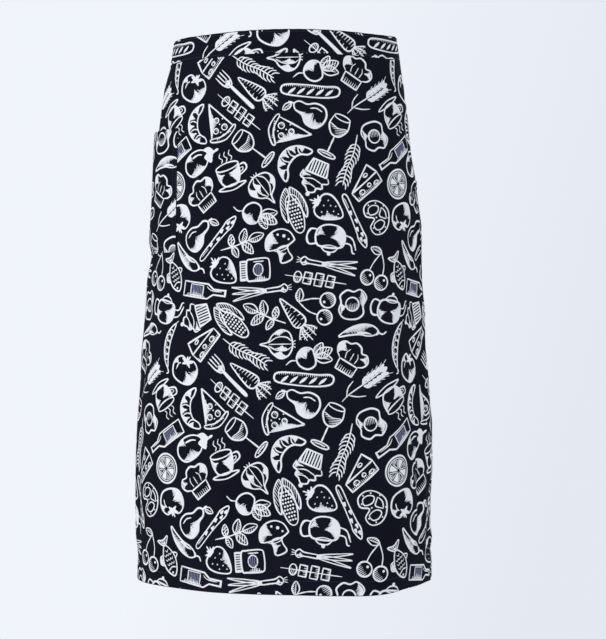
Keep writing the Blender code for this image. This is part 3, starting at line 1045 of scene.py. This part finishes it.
def draw_repeat():
    """The whole repeat as patches: corners (n, 4, 2) in millimetres, inks and layers."""
    drawings, hulls = [], []
    for copy in range(COPIES):
        for number, motif in enumerate(MOTIFS):
            d = Drawing(100 * copy + number)
            motif(d)
            corners = np.array(d.corners, float) * MOTIF_SCALE
            corners -= (corners.min((0, 1)) + corners.max((0, 1))) / 2
            if copy % 2:
                corners = corners[:, ::-1] * (-1, 1)
            drawings.append((corners, d.inks, d.layers))
            hulls.append(hull(corners.reshape(-1, 2)))
    laid = lay(hulls, np.random.RandomState(LAY_SEED))
    corners = [turned(drawings[number][0], angle).reshape(-1, 4, 2) + place
               for number, place, angle in laid]
    inks, layers = (np.concatenate([drawings[number][k] for number, _, _ in laid]) for k in (1, 2))
    return np.concatenate(corners), inks, layers % INK_LAYERS


def clipped(polygon, low, high):
    """A polygon cut off at the sides of a rectangle."""
    for axis in (0, 1):
        for sign, edge in ((1, low[axis]), (-1, high[axis])):
            kept = []
            for p, q in zip(polygon, np.roll(polygon, -1, axis=0)):
                a, b = sign * (p[axis] - edge), sign * (q[axis] - edge)
                if a >= 0:
                    kept.append(p)
                if (a > 0 > b) or (a < 0 < b):
                    kept.append(p + (q - p) * a / (a - b))
            polygon = np.array(kept)
            if len(polygon) < 3:
                return polygon
    return polygon


def printed(name, surface, shift):
    """The ink on one piece of cloth, cut off at its edges. shift is where the repeat's corner lies."""
    low, high = (1000 * np.array([surface.alongs[end], surface.downs[end]]) for end in (0, -1))
    first = np.floor((low - shift) / REPEAT).astype(int) - 1
    last = np.ceil((high - shift) / REPEAT).astype(int) + 1
    polygons, inks, layers = [], [], []
    for i, j in np.ndindex(*(last - first)):
        moved = repeat_corners + REPEAT * (first + (i, j)) + shift
        near = ((moved.max(1) > low) & (moved.min(1) < high)).all(1)
        whole = ((moved.min(1) > low) & (moved.max(1) < high)).all(1)
        for n in np.flatnonzero(near):
            polygon = moved[n] if whole[n] else clipped(moved[n], low, high)
            if len(polygon) > 2:
                polygons.append(polygon)
                inks.append(repeat_inks[n])
                layers.append(repeat_layers[n])
    points = np.concatenate(polygons)
    counts = [len(polygon) for polygon in polygons]
    layer = np.repeat(layers, counts)
    key = np.column_stack([np.round(points * CORNERS_PER_MM), layer]).astype(np.int64)
    _, kept, same = np.unique(key, axis=0, return_index=True, return_inverse=True)
    faces = [list(dict.fromkeys(face.tolist()))[::-1]
             for face in np.split(same.reshape(-1), np.cumsum(counts)[:-1])]
    inks = [ink for ink, face in zip(inks, faces) if len(face) > 2]
    faces = [face for face in faces if len(face) > 2]
    flat = points[kept] / 1000
    places = surface.at(flat[:, 0], flat[:, 1], INK_LIFT + INK_LAYER * layer[kept])
    return make_piece(name, places, faces, flat, [white_ink, grey_ink], sides=inks)


class Nodes:
    """A tree of nodes, made and joined in short lines."""

    def __init__(self, owner):
        self.owner = owner
        owner.use_nodes = True
        self.tree = owner.node_tree

    def put(self, socket, value):
        """Another node's output, a colour or a number into a socket."""
        if isinstance(value, bpy.types.NodeSocket):
            self.tree.links.new(value, socket)
        else:
            socket.default_value = (*value, 1.0) if socket.type == "RGBA" else value

    def add(self, kind, inputs, out=0, **settings):
        """One output of a new node."""
        node = self.tree.nodes.new(kind)
        for key, value in settings.items():
            setattr(node, key, value)
        for key, value in inputs.items():
            self.put(node.inputs[key], value)
        return node.outputs[out] if node.outputs else None

    def math(self, operation, *values):
        return self.add("ShaderNodeMath", dict(enumerate(values)), operation=operation)

    def noise(self, vector, scale, detail=3.0):
        inputs = {"Vector": vector, "Scale": scale, "Detail": detail, "Roughness": 0.55}
        return self.add("ShaderNodeTexNoise", inputs, "Fac")

    def ramp(self, factor, low, high, start=0.0, end=1.0):
        inputs = {"Value": factor, "From Min": low, "From Max": high, "To Min": start, "To Max": end}
        return self.add("ShaderNodeMapRange", inputs, "Result")

    def blend(self, factor, first, second):
        return self.add("ShaderNodeMix", {0: factor, 6: first, 7: second}, 2, data_type="RGBA")

    def shade(self, inputs, height=None, strength=0.0, distance=0.0):
        """The material, with values on its shader and a relief from a height."""
        shader = self.tree.nodes["Principled BSDF"]
        if height:
            relief = {"Height": height, "Strength": strength, "Distance": distance}
            inputs["Normal"] = self.add("ShaderNodeBump", relief, "Normal")
        for key, value in inputs.items():
            self.put(shader.inputs[key], value)
        return self.owner


WEAVE_PITCH = 0.00075
WEAVE_SLANT = 0.6
RIBS = (-1.4, 1.4)


def woven(nodes, pitch=WEAVE_PITCH, slant=WEAVE_SLANT):
    """Height of a twill weave over the flat cloth: slanting ribs of threads, each crossed by a weft."""
    flat = nodes.add("ShaderNodeUVMap", {}, uv_map="flat")
    u, v = nodes.add("ShaderNodeSeparateXYZ", {0: flat}).node.outputs[:2]
    whole = TURN / pitch
    slanted = nodes.math("ADD", nodes.math("MULTIPLY", u, whole), nodes.math("MULTIPLY", v, whole * slant))
    thread = nodes.math("SINE", nodes.math("MULTIPLY", v, whole * 1.7))
    return flat, nodes.math("ADD", nodes.math("SINE", slanted), nodes.math("MULTIPLY", thread, 0.45))


def cotton(name, dark, light, roughness, sheen, *weave):
    """Dyed cotton twill: weave, slubs, slow patches of fading and lint, with painted shade in the grooves.
    """
    nodes = Nodes(bpy.data.materials.new(name))
    flat, height = woven(nodes, *weave)
    slubs = nodes.noise(flat, 900.0, 2.0)
    patches = nodes.ramp(nodes.noise(flat, 9.0, 4.0), 0.3, 0.7, 0.0, 0.55)
    tone = nodes.math("ADD", patches, nodes.ramp(slubs, 0.35, 0.75, 0.0, 0.45))
    # Painted shade and highlight: the tone darkens in the weave's grooves and lightens on its crests.
    tone = nodes.math("MULTIPLY", tone, nodes.ramp(height, *RIBS, 0.75, 1.1))
    relief = nodes.math("ADD", nodes.math("MULTIPLY", height, 0.5), nodes.math("MULTIPLY", slubs, 1.2))
    return nodes.shade({
        "Base Color": nodes.blend(tone, dark, light),
        "Roughness": nodes.ramp(slubs, 0.2, 0.8, roughness - 0.06, roughness + 0.06),
        "Sheen Weight": sheen,
        "Sheen Roughness": 0.5,
        "Specular IOR Level": 0.02}, relief, 0.55, 0.00012)


def ink(name, bright, dull):
    """Pigment ink over the weave, a little thin on the threads' shoulders."""
    nodes = Nodes(bpy.data.materials.new(name))
    flat, height = woven(nodes)
    thin = nodes.ramp(nodes.noise(flat, 700.0), 0.48, 0.78, 0.0, 0.8)
    uneven = nodes.ramp(nodes.noise(flat, 26.0), 0.35, 0.75, 0.0, 0.5)
    return nodes.shade({
        "Base Color": nodes.blend(nodes.math("MAXIMUM", thin, uneven), bright, dull),
        "Roughness": nodes.ramp(height, *RIBS, 0.80, 0.67),
        "Specular IOR Level": 0.3}, height, 0.35, 0.0001)


def make_thread():
    """Black sewing thread, twisted, with painted shade in its grooves and a painted highlight on its
    crests.
    """
    nodes = Nodes(bpy.data.materials.new("black_thread"))
    _, height = woven(nodes, 0.0004, 1.2)
    # Painted shade and highlight: darker in the twist's grooves, lighter on its crests.
    colour = nodes.blend(nodes.ramp(height, *RIBS), (0.012, 0.012, 0.016), (0.045, 0.047, 0.058))
    return nodes.shade({"Base Color": colour, "Roughness": 0.6}, height, 0.5, 0.0001)


# The photograph's camera
IMAGE_HEIGHT = 639
AZIMUTH = math.radians(10)
CAMERA_DISTANCE = 2.25
CAMERA_HEIGHT = -0.3885
CAMERA_SIDE = 0.02225
PIXEL_SIZE = 0.001309
SENSOR = 36.0


def set_camera():
    """The photograph's camera, level, with the hem's nearest point at its measured distance."""
    right = np.array([math.cos(AZIMUTH), math.sin(AZIMUTH), 0.0])
    forward = np.array([-math.sin(AZIMUTH), math.cos(AZIMUTH), 0.0])
    hem = cloth(np.linspace(-PANEL_WIDTH / 2, PANEL_WIDTH / 2, 371), DROP)
    data = bpy.data.cameras.new("camera")
    data.sensor_width = SENSOR
    data.lens = CAMERA_DISTANCE / PIXEL_SIZE * SENSOR / IMAGE_HEIGHT
    data.clip_start = 0.05
    camera = bpy.data.objects.new("camera", data)
    camera.location = forward * ((hem @ forward).min() - CAMERA_DISTANCE) + right * CAMERA_SIDE
    camera.location[2] = CAMERA_HEIGHT
    camera.rotation_euler = (math.pi / 2, 0, AZIMUTH)
    bpy.context.scene.collection.objects.link(camera)
    bpy.context.scene.camera = camera


# The backdrop as the camera sees it, with painted shade: darker towards the right and lower down.
BACKDROP = (0.875, 0.900, 0.965)
BACKDROP_SHADED = (0.785, 0.810, 0.885)
BACKDROP_SHADE_RAMP = (-0.06, 0.17)
BACKDROP_SLOPE = -0.25
AMBIENT = (0.50, 0.53, 0.58)
LIGHTS = (
    # name, place, target, size, watts, colour
    ("key", (-1.7, -2.5, 0.4), (0, 0, -0.40), (1.8, 1.8), 50, (1.0, 1.0, 1.0)),
    ("fill", (2.7, -0.5, 0.0), (0, 0, -0.45), (1.4, 1.8), 20, (0.97, 0.98, 1.0)),
    ("back_light", (0.4, 2.6, 0.9), (0, 0, -0.35), (1.8, 1.4), 34, (1.0, 1.0, 1.0)),
)


def set_light():
    """A pale studio: painted shade on the backdrop's right, a large soft light from the front left and weak
    ones opposite.
    """
    world = bpy.data.worlds.new("studio")
    nodes = Nodes(world)
    nodes.tree.nodes.clear()
    toward = nodes.add("ShaderNodeTexCoord", {}, "Generated")
    side = (math.cos(AZIMUTH), math.sin(AZIMUTH), BACKDROP_SLOPE)
    across = nodes.add("ShaderNodeVectorMath", {0: toward, 1: side}, "Value", operation="DOT_PRODUCT")
    # Painted shade on the backdrop, towards the camera's right and lower down.
    backdrop = nodes.blend(nodes.ramp(across, *BACKDROP_SHADE_RAMP), BACKDROP, BACKDROP_SHADED)
    seen, lit = (nodes.add("ShaderNodeBackground", {0: colour}) for colour in (backdrop, AMBIENT))
    camera_ray = nodes.add("ShaderNodeLightPath", {}, "Is Camera Ray")
    mix = nodes.add("ShaderNodeMixShader", {0: camera_ray, 1: lit, 2: seen})
    nodes.add("ShaderNodeOutputWorld", {0: mix})
    bpy.context.scene.world = world
    for name, place, target, size, power, colour in LIGHTS:
        data = bpy.data.lights.new(name, "AREA")
        data.shape = "RECTANGLE"
        data.size, data.size_y = size
        data.energy = power
        data.color = colour
        light = bpy.data.objects.new(name, data)
        light.location = place
        x, y, z = np.subtract(target, place)
        light.rotation_euler = (math.atan2(math.hypot(x, y), -z), 0, math.atan2(-x, y))
        bpy.context.scene.collection.objects.link(light)
    view = bpy.context.scene.view_settings
    view.view_transform = "Standard"
    view.look = "None"
    view.exposure = 0.0


FLOOR_HEIGHT = -1.06
FLOOR_RADIUS = 1.1


def set_floor():
    """A plain pale round floor under the apron, below the photograph's frame."""
    mesh = bpy.data.meshes.new("floor")
    turn = np.linspace(0, TURN, 96, endpoint=False)
    rim = [(FLOOR_RADIUS * math.cos(t), FLOOR_RADIUS * math.sin(t), FLOOR_HEIGHT) for t in turn]
    mesh.from_pydata(rim, [], [tuple(range(len(rim)))])
    nodes = Nodes(bpy.data.materials.new("pale_floor"))
    place = nodes.add("ShaderNodeTexCoord", {}, "Object")
    tone = nodes.blend(nodes.noise(place, 5.0), (0.72, 0.73, 0.75), (0.78, 0.79, 0.81))
    mesh.materials.append(nodes.shade({"Base Color": tone, "Roughness": 0.8}))
    floor = bpy.data.objects.new("floor", mesh)
    bpy.context.scene.collection.objects.link(floor)


set_camera()
set_light()
set_floor()

printed_cotton = cotton("printed_cotton", (0.0054, 0.0058, 0.0118), (0.0112, 0.0118, 0.0215), 0.92, 0.01)
reverse_cotton = cotton("reverse_cotton", (0.0080, 0.0086, 0.0150), (0.0170, 0.0180, 0.0280), 0.90, 0.04)
plain_cotton = cotton("plain_cotton", (0.0070, 0.0074, 0.0120), (0.0140, 0.0148, 0.0220), 0.84, 0.10,
                      0.0006, 0.0)
white_ink = ink("white_ink", (0.865, 0.865, 0.890), (0.72, 0.73, 0.77))
grey_ink = ink("grey_ink", (0.20, 0.22, 0.34), (0.14, 0.15, 0.25))
thread = make_thread()

STITCH_PITCH = 0.0034
STITCH_LENGTH = 0.0026
STITCH_HALF_WIDTH = 0.00028
STITCH_HEIGHT = 0.00034
STITCH = (
    # place in its length, breadth, height
    (0.0, 0.10, -0.4),
    (0.25, 1.0, 0.8),
    (0.75, 1.0, 0.8),
    (1.0, 0.10, -0.4),
)


def stitch_line(name, surface, places):
    """Threads along a line of flat places, each a small lozenge of thread sunk at its ends."""
    line = np.array(places, float)
    length = lengths(line)
    starts = np.arange(STITCH_PITCH / 2, length[-1] - STITCH_LENGTH, STITCH_PITCH)
    share, breadth, height = np.array(STITCH).T
    here = np.add.outer(starts, share * STITCH_LENGTH).ravel()
    at = on_line(here, length, line)
    run = units(on_line(here + 1e-4, length, line) - at)
    aside = np.stack([-run[:, 1], run[:, 0]], axis=1)
    aside *= STITCH_HALF_WIDTH * np.tile(breadth, len(starts))[:, None]
    flat = np.stack([at + aside, at, at - aside], axis=1).reshape(-1, 2)
    lift = np.outer(np.tile(height, len(starts)), (0, STITCH_HEIGHT, 0)).ravel()
    faces = [(a, a + 1, a + 4, a + 3) for base in range(0, len(flat), 12)
             for row in (0, 3, 6) for a in (base + row, base + row + 1)]
    points = surface.at(flat[:, 0], flat[:, 1], lift)
    return make_piece(name, points, faces, flat, [thread])


def dress(word, node, surface, wall, shift, rows):
    """A printed cloth that stands for a node, and what lies on it: its ink and its rows of stitches."""
    piece = walled(word + "_cloth", node, surface, wall, [printed_cotton, reverse_cotton])
    return piece, [printed(word + "_print", surface, shift),
                   *[stitch_line(name, surface, places) for name, places in rows]]


repeat_corners, repeat_inks, repeat_layers = draw_repeat()
HALF = PANEL_WIDTH / 2
SEAM_INSET = 0.0022
BAND_ROWS = 13
BAND_SUNK = 0.0005
BAND_SPARE = 0.0004
SEAM_DIP = 0.0007
SEAM_DIP_BREADTH = 0.0012
RIPPLE_HEIGHT = 0.00035
RIPPLE_PITCH = 0.019
RIPPLE_REACH = 0.006
POCKET_STEP = 0.0030
POCKET_SLACK = 0.3
POCKET_SEAMS = ((0.0018, "outer"), (0.0078, "inner"))
MOUTH_SEAM_END = 0.009
MOUTH_SEAM_DOWN = 0.022


def make_panel():
    alongs = with_step(with_step(steps(-HALF, HALF, CLOTH_STEP), SIDE_TURN - HALF), HALF - SIDE_TURN)
    downs = with_step(steps(BAND_HEIGHT + CLEARANCE, DROP, CLOTH_STEP), DROP - HEM_TURN)
    laps = (np.clip(past / LAP_STEP + 0.5, 0, 1)
            for past in (downs - (DROP - HEM_TURN), np.abs(alongs) - (HALF - SIDE_TURN)))
    wall = CLOTH_WALL + (HEM_WALL - CLOTH_WALL) * np.maximum.outer(*laps)
    foot, edge = DROP - HEM_TURN + SEAM_INSET, HALF - SIDE_TURN + SEAM_INSET
    rows = [("hem_stitches", [(0.002 - HALF, foot), (HALF - 0.002, foot)])]
    for at, word in ((edge, "left"), (-edge, "right")):
        rows.append((f"side_hem_stitches_{word}", [(at, BAND_HEIGHT + 0.004), (at, DROP - 0.003)]))
    return dress("panel", "apron_panel", worn(alongs, downs, creases), wall, (0, 0), rows)


def make_band():
    def off(along, down):
        edge = np.minimum(down, BAND_HEIGHT - down)
        dip = SEAM_DIP * bell(edge - SEAM_INSET, SEAM_DIP_BREADTH)
        ripple = RIPPLE_HEIGHT * np.sin(TURN * along / RIPPLE_PITCH + 2 * np.sin(along * 27))
        ripple *= np.exp(-edge / RIPPLE_REACH)
        return BAND_WALL - SOLID_WALL - BAND_SUNK - dip + ripple + creases(along, BAND_HEIGHT)

    surface = worn(steps(-HALF, HALF, CLOTH_STEP), np.linspace(0, BAND_HEIGHT, BAND_ROWS), off)
    rows = [(f"band_stitches_{word}", [(0.003 - HALF, down), (HALF - 0.003, down)])
            for down, word in ((SEAM_INSET, "upper"), (BAND_HEIGHT - SEAM_INSET, "lower"))]
    return dress("band", "waistband", surface, BAND_WALL - BAND_SPARE, (120, -70), rows)


def make_pocket():
    inner, outer = -POCKET_FROM_CENTRE, -POCKET_FROM_CENTRE - POCKET_WIDTH
    mouth, base = POCKET_DOWN, POCKET_DOWN + POCKET_HEIGHT

    def off(along, down):
        belly = ease(np.minimum(along - outer, inner - along) / (2 * POCKET_TURN))
        full = ease((base - down) / POCKET_TURN) * (1 - POCKET_SLACK * (down - mouth) / POCKET_HEIGHT)
        return creases(along, down) + CLEARANCE + CLOTH_WALL + POCKET_STAND * full * belly

    surface = worn(steps(outer, inner, POCKET_STEP), steps(mouth, base, POCKET_STEP), off)
    rows = []
    for inset, word in POCKET_SEAMS:
        left, right = outer + inset, inner - inset
        line = [(left, mouth + 0.001), (left, base - inset), (right, base - inset), (right, mouth + 0.001)]
        rows.append((f"pocket_stitches_{word}", line))
    line = [(at, mouth + MOUTH_SEAM_DOWN) for at in (outer + MOUTH_SEAM_END, inner - MOUTH_SEAM_END)]
    rows.append(("pocket_mouth_stitches", line))
    return dress("pocket", "hip_pocket", surface, CLOTH_WALL, (40, 155), rows)


TIE_WIDTH = 0.025
TIE_WALL = 0.0016
KNOT_WIDTH = 0.026
KNOT_HEIGHT = 0.030
KNOT_DEPTH = 0.015
LOOP_LENGTH = 0.095
LOOP_OPENING = 0.014
END_LENGTH = 0.260
TAPE_STEP = 0.0025
TAPE_COLUMNS = 15
TAPE_EDGE = 0.0028
TAPE_CUP = 0.0006
TAPE_WAVE = 0.0004
PLEAT_DEPTH = 0.0016
PLEATS = 2.2
TIE_LAP = 0.003
TIE_SHORT = 0.006
TIE_SUNK = 0.0004
GATHER_START = 0.035
GATHER_LENGTH = 0.030
GATHER_SHARE = 0.35
LOOP_SAG = 0.004
LOOP_LEAN = math.radians(10)

# One loop of the bow, as in the solids: out is a share of LOOP_LENGTH, lift of LOOP_OPENING and
# width of TIE_WIDTH. The first and last rows lie inside the knot.
LOOP = (
    # out, lift, width, pleat
    (-0.07, 0.70, 0.42, 1.0),
    (0.05, 0.82, 0.52, 1.0),
    (0.18, 1.00, 0.80, 0.7),
    (0.45, 1.30, 1.00, 0.2),
    (0.75, 1.25, 1.00, 0.0),
    (0.96, 1.00, 1.00, 0.0),
    (1.00, 0.75, 1.00, 0.0),
    (0.94, 0.50, 1.00, 0.0),
    (0.72, 0.36, 1.00, 0.1),
    (0.42, 0.30, 1.00, 0.2),
    (0.16, 0.32, 0.80, 0.7),
    (-0.07, 0.40, 0.45, 1.0),
)
LOOP_SLOPE = math.radians(28)

# One hanging end: down is a share of END_LENGTH, side of TIE_WIDTH, off of KNOT_DEPTH and width of
# TIE_WIDTH. turn is how far the tape is twisted, in degrees.
TIE_END = (
    # down, side, off, width, pleat, turn
    (-0.04, 0.22, 0.20, 0.45, 1.0, 0),
    (0.03, 0.34, 0.18, 0.60, 1.0, 4),
    (0.08, 0.42, 0.20, 0.80, 0.7, 10),
    (0.25, 0.70, 0.45, 1.00, 0.2, 16),
    (0.50, 1.05, 1.00, 1.00, 0.0, 6),
    (0.75, 1.30, 1.40, 1.00, 0.0, -8),
    (1.00, 1.45, 1.50, 1.00, 0.0, -14),
)


def knot_middle():
    """The middle of the knot, whose inner face lies level with the tapes' inner faces."""
    middle, back = ring(BAND_HEIGHT / 2)[0][-1]
    return np.array([middle, back - TIE_WALL + KNOT_DEPTH / 2, -BAND_HEIGHT / 2])


def through(rows, sizes):
    """Places on a smooth curve through a table's rows, about TAPE_STEP apart, and the columns there."""
    table = np.array(rows, float)
    place = lengths(table[:, :2] * sizes)
    marks = steps(0, place[-1], TAPE_STEP)
    return marks, *smooth(np.column_stack([place, table]), marks).T


def tape(node, marks, lines, across, widths, pleats, wall, tilt):
    """A tape along lines of points, with rolled edges, pleated where it is gathered, and its stitches."""
    share = np.linspace(-0.5, 0.5, TAPE_COLUMNS)
    face = units(np.cross(np.gradient(lines, axis=0), across))
    pleat = np.outer(PLEAT_DEPTH * pleats, np.sin(TURN * (PLEATS * share + 0.1 + tilt)))
    cup = np.add.outer(TAPE_WAVE * np.sin(marks * 70 + tilt * 9), TAPE_CUP * np.cos(TURN * share))
    points = lines[:, None] + np.outer(widths, share)[..., None] * across[:, None]
    points += (pleat + cup)[..., None] * face[:, None]
    surface = Surface(share * TIE_WIDTH, marks, points)
    piece = walled(node + "_tape", node, surface, wall, [plain_cotton])
    seams = [stitch_line(f"{node}_tape_stitches_{word}", surface, [(at, marks[0]), (at, marks[-1])])
             for at, word in ((TIE_WIDTH / 2 - TAPE_EDGE, "a"), (TAPE_EDGE - TIE_WIDTH / 2, "b"))]
    return piece, seams, surface


def make_tie(node, side):
    """The tape from one end of the waistband round to the knot."""
    _, length = ring(BAND_HEIGHT / 2)
    marks = steps(HALF - TIE_LAP, length[-1] - TIE_SHORT, TAPE_STEP)
    lines = cloth(side * marks, BAND_HEIGHT / 2, -TIE_SUNK)
    gather = ease((marks - marks[-1] + GATHER_START) / GATHER_LENGTH)
    upright = np.tile([0.0, 0.0, -side], (len(marks), 1))
    return tape(node, marks, lines, upright, TIE_WIDTH * (1 - GATHER_SHARE * gather), gather * 0.8,
                TIE_WALL * 0.75, 0.2 * side)


def make_loop(node, side):
    """One loop of the bow, that leaves the knot's side, turns over and comes back."""
    c, s = math.cos(LOOP_SLOPE), math.sin(LOOP_SLOPE)
    corner = 0.55 * TIE_WIDTH / 2 * s
    start = knot_middle() + (side * (KNOT_WIDTH / 2 + corner + CLEARANCE), 0, 0)
    start[1] -= KNOT_DEPTH / 2 - TIE_WALL - CLEARANCE
    marks, out, lift, width, pleat = through(LOOP, (LOOP_LENGTH, LOOP_OPENING))
    lines = start + np.outer(out * LOOP_LENGTH, (side * c, 0, -s))
    lines[:, 1] += lift * LOOP_OPENING
    far = np.clip(out, 0, 1)
    lines[:, 2] -= LOOP_SAG * far**2
    lean = LOOP_LEAN * np.sin(math.pi * far) * np.where(marks < marks[-1] / 2, 1, -0.5)
    across = np.outer(np.cos(lean), (side * s, 0, c)) + np.outer(np.sin(lean), (0, 1, 0))
    return tape(node, marks, lines, across * side, width * TIE_WIDTH, pleat, TIE_WALL * 0.8, 0.15 * side)


def make_end(node, side):
    """One hanging end of the ties, from under the knot."""
    marks, down, place, off, width, pleat, turn = through(TIE_END, (END_LENGTH, TIE_WIDTH))
    lines = knot_middle() + np.column_stack([
        side * place * TIE_WIDTH, off * KNOT_DEPTH - KNOT_DEPTH / 2,
        -down * END_LENGTH - KNOT_HEIGHT / 2 - CLEARANCE])
    twist = np.radians(turn) * side
    across = np.column_stack([-np.cos(twist), np.sin(twist), 0 * twist])
    return tape(node, marks, lines, across, width * TIE_WIDTH, pleat, TIE_WALL * 0.85, 0.3 * side)


KNOT_AROUND = 72
KNOT_ALONG = 25
# How much room the pleats need in the knot's breadth, depth and height
KNOT_ROOM = (0.0012, 0.0008, 0.0014)
KNOT_TAPER = 0.42
KNOT_LEAN = 0.10
KNOT_PLEAT = 0.0007
KNOT_CREASE = 0.0004


def make_knot():
    """The knot: a tape wrapped round the crossing, full in its middle, with pleats round it."""
    breadth, depth, height = np.array([KNOT_WIDTH, KNOT_DEPTH, KNOT_HEIGHT]) / 2 - KNOT_ROOM
    x = np.linspace(-1, 1, KNOT_ALONG)[:, None]
    turn = np.arange(KNOT_AROUND) * TURN / KNOT_AROUND
    c, s = np.cos(turn), np.sin(turn)
    full = (1 - np.abs(x) ** 3.2 * KNOT_TAPER) * (np.abs(c) ** 3 + np.abs(s) ** 3) ** (-1 / 3)
    pleat = KNOT_PLEAT * np.sin(8.5 * x + 0.9 * s + 0.5) * (1 - x * x * 0.4)
    pleat += KNOT_CREASE * np.sin(17 * x + 2 * c)
    y = c * (full * depth + pleat)
    z = s * (full * height + pleat)
    points = knot_middle() + np.stack([x * breadth + KNOT_LEAN * z, y, z], axis=2)
    flats = np.stack(np.broadcast_arrays(x * 0.013, turn * 0.011), axis=2).reshape(-1, 2)
    number = np.arange(KNOT_ALONG * KNOT_AROUND).reshape(KNOT_ALONG, KNOT_AROUND)
    after = np.roll(number, -1, axis=1)
    faces = np.stack([number[:-1], after[:-1], after[1:], number[1:]], axis=2).reshape(-1, 4).tolist()
    faces += [(number.size, b, a) for a, b in zip(number[0].tolist(), after[0].tolist())]
    faces += [(number.size + 1, a, b) for a, b in zip(number[-1].tolist(), after[-1].tolist())]
    points = np.vstack([points.reshape(-1, 3), points[0].mean(0), points[-1].mean(0)])
    flats = np.vstack([flats, np.zeros((2, 2))])
    return make_piece("bow_knot_wrap", points, faces, flats, [plain_cotton], "bow_knot")


panel, on_panel = make_panel()
band, on_band = make_band()
pocket, on_pocket = make_pocket()
make_knot()
for side, word in ((1, "left"), (-1, "right")):
    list(make_tie(f"tie_{word}", side))
    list(make_loop(f"bow_loop_{word}", side))
    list(make_end(f"tie_end_{word}", side))
